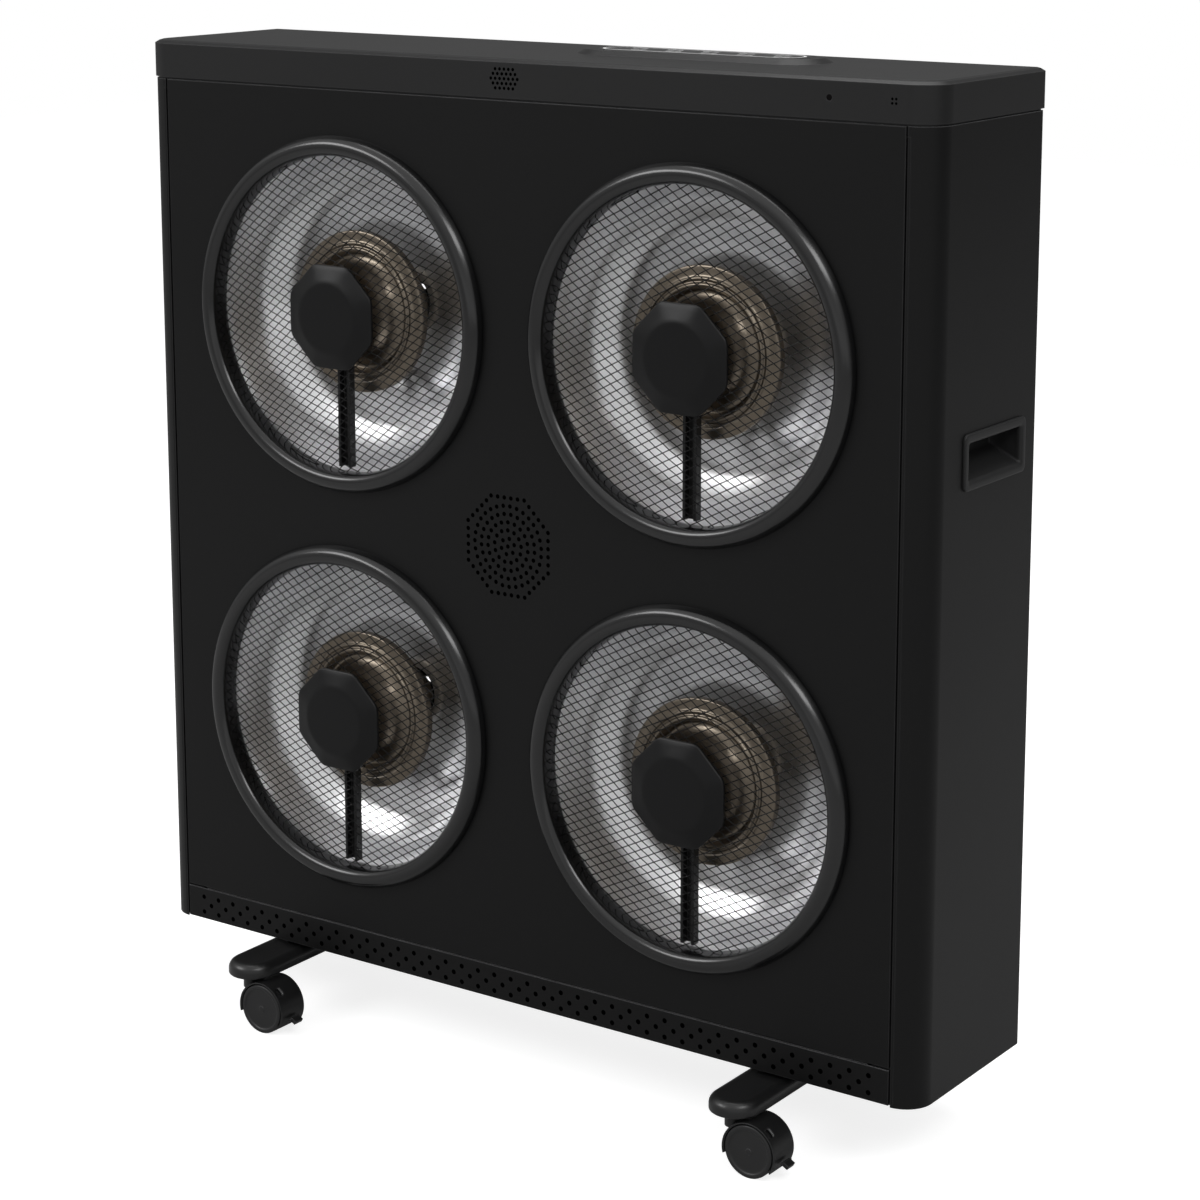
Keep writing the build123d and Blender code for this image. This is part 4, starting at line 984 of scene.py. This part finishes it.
@dataclass
class TopCap:
    """Deep lid with the raised control pad, the sound and sensor holes and the printed marks."""

    edge_roll: float = 1.3
    edge_steps: int = 3
    edge_angle: float = 12.0
    film_roll: float = 0.25
    pad_x: float = 111.0
    pad_y: float = 13.7
    pad_rise: float = 3.5
    film: float = 0.3
    print_room: float = 0.06
    print_rise: float = 0.05
    outline_length: float = 170.0
    outline_width: float = 27.0
    line: float = 2.0
    arc_points: int = 17
    mark_levels: Point = (6.0, -6.0)
    mark_columns: int = 5
    mark_start: float = -62.0
    mark_pitch: float = 31.0
    mark_shift: float = 6.0
    sound_z: float = CAP_SEAM_Z + 15.0
    sound_hole_radius: float = 1.0
    sound_hole_pitch: float = 4.0
    sound_row_share: float = 0.87
    sound_rows: tuple[int, ...] = (5, 6, 7, 6, 5)
    sensor_x: float = 324.3
    sensor_z: float = CAP_SEAM_Z + 15.4
    sensor_pitch: float = 3.0
    sensor_radius: float = 0.72

    @property
    def pad_face_z(self) -> float:
        """Level of the film's top face, a little under the CAD one, which leaves room for the print."""
        return CABINET_TOP_Z + self.pad_rise + self.film - self.print_room

    def lowered(self, points: np.ndarray) -> np.ndarray:
        """Draw the film's top face down to its level."""
        return joined(points[:, 0], points[:, 1], np.minimum(points[:, 2], self.pad_face_z))

    def stroke(self, line: np.ndarray, width: float, closed: bool = False) -> tuple[np.ndarray, np.ndarray]:
        """Flat printed stroke: each point of a line is set out to both sides along the line's normal.

        Args:
            line: Array of (n, 2) points on the pad.
            width: Width of the stroke.
            closed: Whether the stroke is a loop.

        Returns:
            Points and quads of the stroke.
        """
        ahead = np.roll(line, -1, 0) if closed else np.vstack((line[1:], 2 * line[-1:] - line[-2:-1]))
        behind = np.roll(line, 1, 0) if closed else np.vstack((2 * line[:1] - line[1:2], line[:-1]))
        tangent = ahead - behind
        tangent /= np.linalg.norm(tangent, axis=1, keepdims=True)
        normal = joined(-tangent[:, 1], tangent[:, 0]) * width / 2
        flat = np.concatenate((line + normal, line - normal)) + (self.pad_x, self.pad_y)
        count = len(line)
        index = np.arange(count if closed else count - 1)
        after = (index + 1) % count
        quads = joined(index, after, after + count, index + count)
        return joined(flat[:, 0], flat[:, 1], self.pad_face_z + self.print_rise), quads

    def stadium(self) -> np.ndarray:
        """Points of the pad's outline: two half circles joined by straight sides.

        Returns:
            Array of (n, 2) points.
        """
        radius = self.outline_width / 2
        turn = np.linspace(-math.pi / 2, math.pi / 2, self.arc_points)
        right = joined(self.outline_length / 2 - radius + radius * np.cos(turn), radius * np.sin(turn))
        return np.vstack((right, -right))

    def arc(self, radius: float, end: float) -> np.ndarray:
        """Points of an arc about the origin, from the x axis to an angle in degrees."""
        turn = np.radians(np.linspace(0, end, self.arc_points))
        return radius * joined(np.cos(turn), np.sin(turn))

    def marks(self) -> Piece:
        """Generic printed marks: an outline, and two rows of rings, each with a symbol in it and two bars.

        The symbols are a tick, a minus, a plus and an arc. A stroke is a line about its ring's middle with
        its width.

        Returns:
            The piece.
        """
        minus = (np.array(((-1.5, 0.0), (1.5, 0.0))), 0.9)
        upright = (np.array(((0.0, -1.5), (0.0, 1.5))), 0.9)
        tick = (np.array(((0.0, 0.0), (0.0, 3.4))), 1.0)
        symbols = ((tick,), (minus,), (minus, upright), ((self.arc(1.2, 200.0), 0.6),))
        ring = (self.arc(2.6, 338.0), 1.0)
        bars = [(np.array(((5.0, y), (end, y))), 1.3) for end, y in ((11.0, -1.6), (9.4, 0.9))]
        strokes = [self.stroke(self.stadium(), self.line, closed=True)]
        for row, level in enumerate(self.mark_levels):
            for column in range(self.mark_columns):
                spot = (self.mark_start + column * self.mark_pitch + row * self.mark_shift, level)
                symbol = symbols[(row * self.mark_columns + column) % len(symbols)]
                strokes += [self.stroke(line + spot, width) for line, width in (ring, *symbol, *bars)]
        starts = np.cumsum([0] + [len(points) for points, _ in strokes[:-1]])
        faces = np.vstack([quads + start for (_, quads), start in zip(strokes, starts)])
        piece = make_piece("pad_marks", np.vstack([points for points, _ in strokes]), faces, crease=None)
        face_towards(piece, FAR_UP)
        return piece

    def build(self, palette: Palette) -> None:
        """Build and dress the cap, its pad film, its marks and its holes.

        Args:
            palette: The finishes.
        """
        shell = softened("top_cap_shell", "top_cap", self.edge_roll, self.edge_steps, self.edge_angle)
        film = place(softened("pad_film", "control_overlay", self.film_roll), self.lowered)
        palette.dress(shell, Slot.CAP, BODY)
        palette.dress(film, Slot.OVERLAY, BODY)
        palette.dress(self.marks(), Slot.OVERLAY, BODY, trim=palette.mark)
        step = self.sound_hole_pitch * self.sound_row_share
        middle = len(self.sound_rows) // 2
        rows = [(self.sound_z + (middle - row) * step, count) for row, count in enumerate(self.sound_rows)]
        square = np.array(((-0.5, -0.5), (0.5, -0.5), (0.5, 0.5), (-0.5, 0.5)))
        sensors = square * self.sensor_pitch + (self.sensor_x, self.sensor_z)
        for name, radius, centres in (
            ("cap_sound_holes", self.sound_hole_radius, PunchedHoles.rows(rows, self.sound_hole_pitch)),
            ("cap_sensor_holes", self.sensor_radius, sensors),
        ):
            PunchedHoles(name, radius, CAP_FRONT_Y).build(palette, Slot.CAP, centres)


@dataclass
class Grips:
    """Two recessed grips: a proud bezel that rolls into a cup with a sloping floor and a finger pocket."""

    centre_y: float = 13.5
    centre_z: float = PANEL_CENTRE_Z + 98.0
    corner_steps: int = 9
    crease: float = 42.0
    rings: tuple[tuple[float, float, float, float, float], ...] = (
        (-25.8, 0.0, 7.0, 7.0, 0.0), (-25.8, 39.8, -3.8, 18.0, 2.0), (0.0, 40.3, -14.8, 18.0, 2.0),
        (0.0, 45.0, -20.25, 20.25, 4.5), (1.0, 45.0, -20.25, 20.25, 4.5), (1.6, 44.75, -20.0, 20.0, 4.4),
        (1.92, 44.3, -19.5, 19.5, 4.2), (2.0, 43.6, -18.8, 18.8, 4.0), (2.0, 41.2, -16.4, 15.6, 3.2),
        (1.85, 40.2, -15.4, 14.6, 3.0), (1.4, 39.4, -14.4, 13.9, 2.8), (0.7, 38.8, -13.5, 13.3, 2.6),
        (-0.3, 38.5, -12.8, 13.0, 2.5), (-1.8, 38.5, -12.2, 13.0, 2.5), (-2.2, 38.5, -12.0, 16.2, 2.5),
        (-12.0, 38.3, -7.5, 16.2, 2.5), (-22.6, 38.0, -2.7, 16.2, 2.5), (-23.7, 37.2, -1.6, 15.4, 2.2),
        (-24.0, 35.5, 0.0, 13.6, 2.0), (-24.0, 0.0, 7.0, 7.0, 0.0),
    )  # fmt: skip

    def cup(self, name: str, side: float) -> Piece:
        """One grip as a stack of rounded rectangles, closed in the middle at the front and at the back.

        Ring n stands out from the side face by its first number. Its half length, its lower and upper edge
        and its corner radius follow; a point of a corner is the corner's centre plus the radius times
        (cos a, sin a).

        Args:
            name: Name of the piece.
            side: Which side of the cabinet it is on, -1 or 1.

        Returns:
            The piece.
        """
        quarter = math.pi / 2
        angles = (np.arange(4)[:, None] * quarter + np.linspace(0, quarter, self.corner_steps)).ravel()
        middle = np.repeat((np.arange(4) + 0.5) * quarter, self.corner_steps)
        out, half, low, high, corner = (column[:, None] for column in np.array(self.rings).T)
        y = np.sign(np.cos(middle)) * (half - corner) + corner * np.cos(angles)
        z = np.where(np.sin(middle) > 0, high - corner, low + corner) + corner * np.sin(angles)
        rings = joined(side * (SIDE_X + out), self.centre_y + y, self.centre_z + z)
        return stacked(name, rings, crease=self.crease)

    def build(self, palette: Palette) -> None:
        """Build and dress both grips."""
        for name, side in (("left", -1.0), ("right", 1.0)):
            palette.dress(self.cup(f"grip_cup_{name}", side), Slot.GRIP, BODY, f"handle_{name}")


# ---- feet ---------------------------------------------------------------------------------------------


@dataclass
class FootBar:
    """One moulded foot bar: a stadium plate with rolled edges and a pad under the tray."""

    side: str
    centre_x: float
    length: float = 273.0
    width: float = 40.0
    bottom_z: float = 44.0
    thickness: float = 11.5
    top_roll: float = 7.0
    low_roll: float = 1.2
    roll_steps: int = 7
    end_steps: int = 25
    pad_half_width: float = 15.0
    pad_half_length: float = 60.0
    pad_height: float = 3.0
    pad_sink: float = 0.2
    pad_corner: float = 3.0

    def plate(self) -> Piece:
        """Stadium rings stacked from the bottom to the top: ring n is the outline drawn in by its inset.

        The insets follow a quarter circle at the top edge and a small one at the bottom edge.

        Returns:
            The piece.
        """
        turn = np.linspace(0, math.pi / 2, self.roll_steps)
        low = self.low_roll * joined(1 - np.sin(turn), 1 - np.cos(turn))
        level = self.thickness - self.top_roll + self.top_roll * np.sin(turn)
        inset, level = np.vstack((low, joined(self.top_roll * (1 - np.cos(turn)), level))).T[..., None]
        arc = np.linspace(-math.pi / 2, math.pi / 2, self.end_steps)
        radius = self.width / 2 - inset
        half = joined(radius * np.sin(arc), self.length / 2 - self.width / 2 + radius * np.cos(arc))
        outline = np.concatenate((half, -half), 1)
        rings = joined(outline[..., 0], outline[..., 1], level) + (self.centre_x, 0.0, self.bottom_z)
        return stacked(f"foot_bar_plate_{self.side}", rings, ends=True)

    def pad(self) -> Piece:
        """Raised pad between the plate and the tray: a block with rolled upright edges.

        Returns:
            The piece.
        """
        x, y, cut = self.pad_half_width, self.pad_half_length, self.pad_corner
        half = np.array(((x, cut - y), (x, y - cut), (x - cut, y), (cut - x, y)))
        corners = rounded(np.vstack((half, -half, half[:1])), 1)[:-1]
        levels = np.array((self.thickness - self.pad_sink, self.thickness + self.pad_height))[:, None]
        rings = joined(corners[:, 0], corners[:, 1], levels) + (self.centre_x, 0.0, self.bottom_z)
        return stacked(f"foot_bar_pad_{self.side}", rings, ends=True)

    def build(self, palette: Palette) -> None:
        """Dress the plate, which stands for the CAD bar, and its pad."""
        palette.dress(self.plate(), Slot.FOOT, BODY, f"foot_bar_{self.side}")
        palette.dress(self.pad(), Slot.FOOT, BODY)


@dataclass
class Castor:
    """Twin-wheel castor: hood, web and neck on the swivel body, two wheels on the axle."""

    place_name: str
    stem_x: float
    stem_y: float
    hood_radius: float = 22.1
    hood_wall: float = 1.5
    hood_steps: int = 77
    width: float = 28.0
    leading_angle: float = 194.5
    trailing_angle: float = -33.0
    across: tuple[float, ...] = (0.0, 0.25, 0.46, 0.75, 0.93, 0.985, 1.0)
    edge_drops: tuple[float, ...] = (0.0, 0.0, 0.0, 0.0, 0.0, 0.16, 0.55)
    slot_angle: float = 48.0
    slot_half_angle: float = 8.0
    slot_y: Point = (-10.0, -6.5)
    web_radius: float = 20.9
    web_half: float = 2.0
    web_steps: int = 49
    lever_roll: float = 0.3
    neck_sides: int = 40
    neck_ends: Point = (12.0, 31.0)
    neck_outline: tuple[Point, ...] = ((8.4, 12.0), (8.4, 22.4), (7.9, 23.2), (4.0, 23.2), (4.0, 31.0))
    wheel_sides: int = 72
    wheel_outline: tuple[Point, ...] = (
        (0.0, 12.9), (2.2, 12.9), (2.6, 12.4), (9.0, 12.3), (15.2, 12.45), (16.2, 12.8), (16.8, 13.45),
        (18.9, 13.5), (19.8, 12.9), (20.0, 12.0), (20.0, 3.4), (19.6, 2.6), (2.5, 2.5),
    )  # fmt: skip

    def to_floor(self, points: np.ndarray) -> np.ndarray:
        """Carry castor points, which are about the axle, into the row frame."""
        return points + (self.stem_x + TRAIL, self.stem_y, WHEEL_RADIUS)

    def to_stem(self, points: np.ndarray) -> np.ndarray:
        """Carry points about the swivel axis, level with the axle, into the row frame."""
        return points + (self.stem_x, self.stem_y, WHEEL_RADIUS)

    def to_axle(self, points: np.ndarray) -> np.ndarray:
        """Lay the axis of turned points along the axle and carry them into the row frame."""
        return self.to_floor(joined(points[:, 0], points[:, 2], -points[:, 1]))

    def hood(self) -> Piece:
        """Hood: a bent sheet whose point at angle a and width y is (R cos a, y, R sin a), with a slot in it.

        R falls by a little at both edges, which rolls them. Solidify gives the wall.

        Returns:
            The piece.
        """
        angles = np.radians(np.linspace(self.trailing_angle, self.leading_angle, self.hood_steps))[:, None]
        across, drops = np.array(self.across) * self.width / 2, np.array(self.edge_drops)
        across = np.concatenate((-across[:0:-1], across))
        radius = self.hood_radius - np.concatenate((drops[:0:-1], drops))
        points = joined(radius * np.cos(angles), across, radius * np.sin(angles)).reshape(-1, 3)
        faces = grid_faces(len(angles), len(across))
        x, y, z = points[faces].mean(1).T
        off_slot = np.abs(np.degrees(np.arctan2(z, x)) - self.slot_angle) >= self.slot_half_angle
        off_slot |= (y <= self.slot_y[0]) | (y >= self.slot_y[1])
        hood = make_piece(f"castor_hood_{self.place_name}", points, faces[off_slot])
        face_towards(hood, (0.0, 0.0, 0.0))
        hood.data.flip_normals()
        return walled(place(hood, self.to_floor), "wall", self.hood_wall)

    def web(self) -> Piece:
        """Centre web: the hood's bore filled between two planes, down to the trailing edge of the hood.

        Returns:
            The piece.
        """
        angles = np.radians(np.linspace(self.trailing_angle, self.leading_angle, self.web_steps))
        levels = np.array((-self.web_half, self.web_half))[:, None]
        rings = joined(self.web_radius * np.cos(angles), levels, self.web_radius * np.sin(angles))
        return place(stacked(f"castor_web_{self.place_name}", rings, ends=True), self.to_floor)

    def neck(self) -> Piece:
        """Neck and stem: a softened outline turned about the swivel axis, closed at both ends.

        Returns:
            The piece.
        """
        low, high = self.neck_ends
        profile = np.vstack(((0.0, low), rounded(self.neck_outline, 1), (0.0, high)))
        return place(revolve(f"castor_neck_{self.place_name}", profile, self.neck_sides), self.to_stem)

    def wheels(self) -> Piece:
        """Both wheels and the axle: one outline and its mirror image turned about the axle.

        Returns:
            The piece.
        """
        right = rounded(self.wheel_outline, 1)
        profile = np.vstack((right, right[::-1] * (1.0, -1.0)))
        wheels = revolve(f"castor_wheels_round_{self.place_name}", profile, self.wheel_sides)
        return place(wheels, self.to_axle)

    def build(self, palette: Palette) -> None:
        """Build and dress the castor's pieces.

        Args:
            palette: The finishes.
        """
        name = self.place_name
        body = f"castor_{name}"
        palette.dress(self.hood(), Slot.CASTOR, body, f"castor_housing_{name}")
        palette.dress(self.web(), Slot.CASTOR, body)
        palette.dress(self.neck(), Slot.CASTOR, body)
        palette.dress(self.wheels(), Slot.WHEEL, f"wheels_{name}", f"castor_wheels_{name}")
        if name.startswith("front"):
            lever = softened(f"lever_tab_{name}", f"brake_lever_{name}", self.lever_roll)
            palette.dress(lever, Slot.LEVER, f"brake_{name}")


# ---- studio -------------------------------------------------------------------------------------------


@dataclass
class Studio:
    """Floor, soft lights, white surround and the camera at the photograph's viewing angle.

    The mirrors see a room of three parts, each a product of ramps along the directions right, rear and up: a
    base from front to rear, a soft light above and one at the right. A lamp has a name, a place, its width
    and height, and its watts.
    """

    camera_mm: Place = (1313.6, -1827.7, 948.9)
    azimuth: float = 34.94
    elevation: float = 10.97
    lens: float = 90.12
    sensor: float = 36.0
    clip_end: float = 50.0
    shift: Point = (-0.00712, -0.1602)
    floor_half: float = 6000.0
    floor_tone: float = 0.5
    floor_glow: float = 0.8
    aim: Place = (0.0, 0.0, 0.42)
    lamps: tuple[tuple[str, Place, Point, float], ...] = (
        ("key", (-2.2, -2.6, 2.6), (2.2, 1.2), 60.0),
        ("fill", (2.4, -1.2, 2.9), (1.8, 1.0), 36.0),
        ("top", (0.0, 0.6, 3.0), (2.6, 1.8), 40.0),
    )
    base_rear: Ramp = ((-0.35, 0.25), (0.54, 0.18))
    above_up: Ramp = ((0.2, 0.75), (0.0, 0.62))
    above_rear: Ramp = ((-0.1, 0.25), (1.0, 0.1))
    beside_right: Ramp = ((-0.3, 0.05), (0.0, 0.5))
    beside_rear: Ramp = ((-0.45, 0.0), (1.0, 0.0))
    beside_up: Ramp = ((0.0, 0.4), (1.0, 0.0))
    plain_level: float = 0.55

    def camera(self) -> None:
        """Make the camera and make it the scene's own."""
        data = bpy.data.cameras.new("view")
        data.sensor_width = self.sensor
        data.lens = self.lens
        data.shift_x, data.shift_y = self.shift
        data.clip_end = self.clip_end
        camera = linked("view", data)
        camera.location = Vector(self.camera_mm) * MM
        camera.rotation_euler = Euler((math.radians(90 - self.elevation), 0.0, math.radians(self.azimuth)))
        bpy.context.scene.camera = camera

    def floor(self) -> None:
        """Pale floor with a smooth surface; a camera ray sees it a little brighter."""
        half = self.floor_half
        points = np.array(((-half, -half, 0), (half, -half, 0), (half, half, 0), (-half, half, 0)))
        floor = make_piece("studio_floor", points, [(0, 1, 2, 3)], crease=None)
        material, graph, shader = new_material(
            "studio_floor",
            {
                "Base Color": (self.floor_tone, self.floor_tone, self.floor_tone, 1.0),
                "Roughness": 0.9,
                "Specular IOR Level": 0.0,
                "Emission Color": (1.0, 1.0, 1.0, 1.0),
            },
        )
        path = graph.node("ShaderNodeLightPath").outputs
        seen = graph.math("MAXIMUM", path["Is Camera Ray"], path["Is Transmission Ray"])
        graph.feed(shader, {"Emission Strength": graph.math("MULTIPLY", seen, self.floor_glow)})
        floor.data.materials.append(material)

    def lamp(self, name: str, spot: Place, size: Point, watts: float) -> None:
        """Hang a soft box that is turned to the middle of the object.

        Args:
            name: Name of the lamp.
            spot: Where it hangs, in metres.
            size: Width and height in metres.
            watts: Its power.
        """
        data = bpy.data.lights.new(name, "AREA")
        data.shape = "RECTANGLE"
        data.size, data.size_y = size
        data.energy = watts
        lamp = linked(name, data)
        lamp.location = spot
        lamp.rotation_euler = (Vector(self.aim) - Vector(spot)).to_track_quat("-Z", "Y").to_euler()

    def surround(self) -> None:
        """White for what the camera sees, the room for mirrors and a plain level for the rest."""
        world = bpy.data.worlds.new("surround")
        bpy.context.scene.world = world
        world.use_nodes = True
        graph = Graph(world.node_tree)
        path = graph.node("ShaderNodeLightPath").outputs
        where = graph.node("ShaderNodeTexCoord").outputs["Generated"]
        right, rear, up = graph.node("ShaderNodeSeparateXYZ", {0: where}).outputs
        above = graph.math("MULTIPLY", graph.ramp(up, self.above_up), graph.ramp(rear, self.above_rear))
        beside = graph.ramp(right, self.beside_right)
        beside = graph.math("MULTIPLY", beside, graph.ramp(rear, self.beside_rear))
        beside = graph.math("MULTIPLY", beside, graph.ramp(up, self.beside_up))
        room = graph.math("ADD", graph.ramp(rear, self.base_rear), graph.math("ADD", above, beside))
        mirror = graph.math("MAXIMUM", path["Is Glossy Ray"], path["Is Transmission Ray"])
        plain = graph.math("MULTIPLY", graph.math("SUBTRACT", 1.0, mirror), self.plain_level)
        unseen = graph.math("ADD", graph.math("MULTIPLY", room, mirror), plain)
        hidden = graph.math("MULTIPLY", unseen, graph.math("SUBTRACT", 1.0, path["Is Camera Ray"]))
        strength = graph.math("ADD", hidden, path["Is Camera Ray"])
        shade = world.node_tree.nodes["Background"]
        graph.feed(shade, {"Color": (1.0, 1.0, 1.0, 1.0), "Strength": strength})

    def build(self) -> None:
        """Build the whole studio."""
        self.camera()
        self.floor()
        self.surround()
        for lamp in self.lamps:
            self.lamp(*lamp)
        bpy.context.scene.view_settings.view_transform = "Standard"
        LOG.info("studio built")


# ---- main ---------------------------------------------------------------------------------------------


def heater_modules() -> list[HeaterModule]:
    """The four modules, each with the turns and pitches of its net.

    Returns:
        The modules.
    """
    half = MODULE_PITCH / 2
    return [
        HeaterModule("tl", -half, PANEL_CENTRE_Z + half, (41.0, 161.0), (5.9, 5.8)),
        HeaterModule("tr", half, PANEL_CENTRE_Z + half, (27.0, 146.0), (6.1, 6.3)),
        HeaterModule("bl", -half, PANEL_CENTRE_Z - half, (30.0, 149.0), (5.85, 6.2)),
        HeaterModule("br", half, PANEL_CENTRE_Z - half, (27.0, 146.0), (5.9, 6.2)),
    ]


def castors() -> list[Castor]:
    """The four castors by the names of their places."""
    ends = (("front", -CASTOR_Y), ("rear", CASTOR_Y))
    return [Castor(f"{end}_{side}", x, y) for end, y in ends for side, x in BAR_PLACES]


def main() -> None:
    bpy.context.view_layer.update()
    palette = Palette()
    palette.repaint_nodes(frame["record"])
    Studio().build()
    Cabinet().build(palette)
    TopCap().build(palette)
    Grips().build(palette)
    for module in heater_modules():
        module.build(palette)
    for side, x in BAR_PLACES:
        FootBar(side, x).build(palette)
    for castor in castors():
        castor.build(palette)
    bpy.context.view_layer.update()


if __name__ == "__main__":
    logging.basicConfig(level=logging.INFO)
    main()
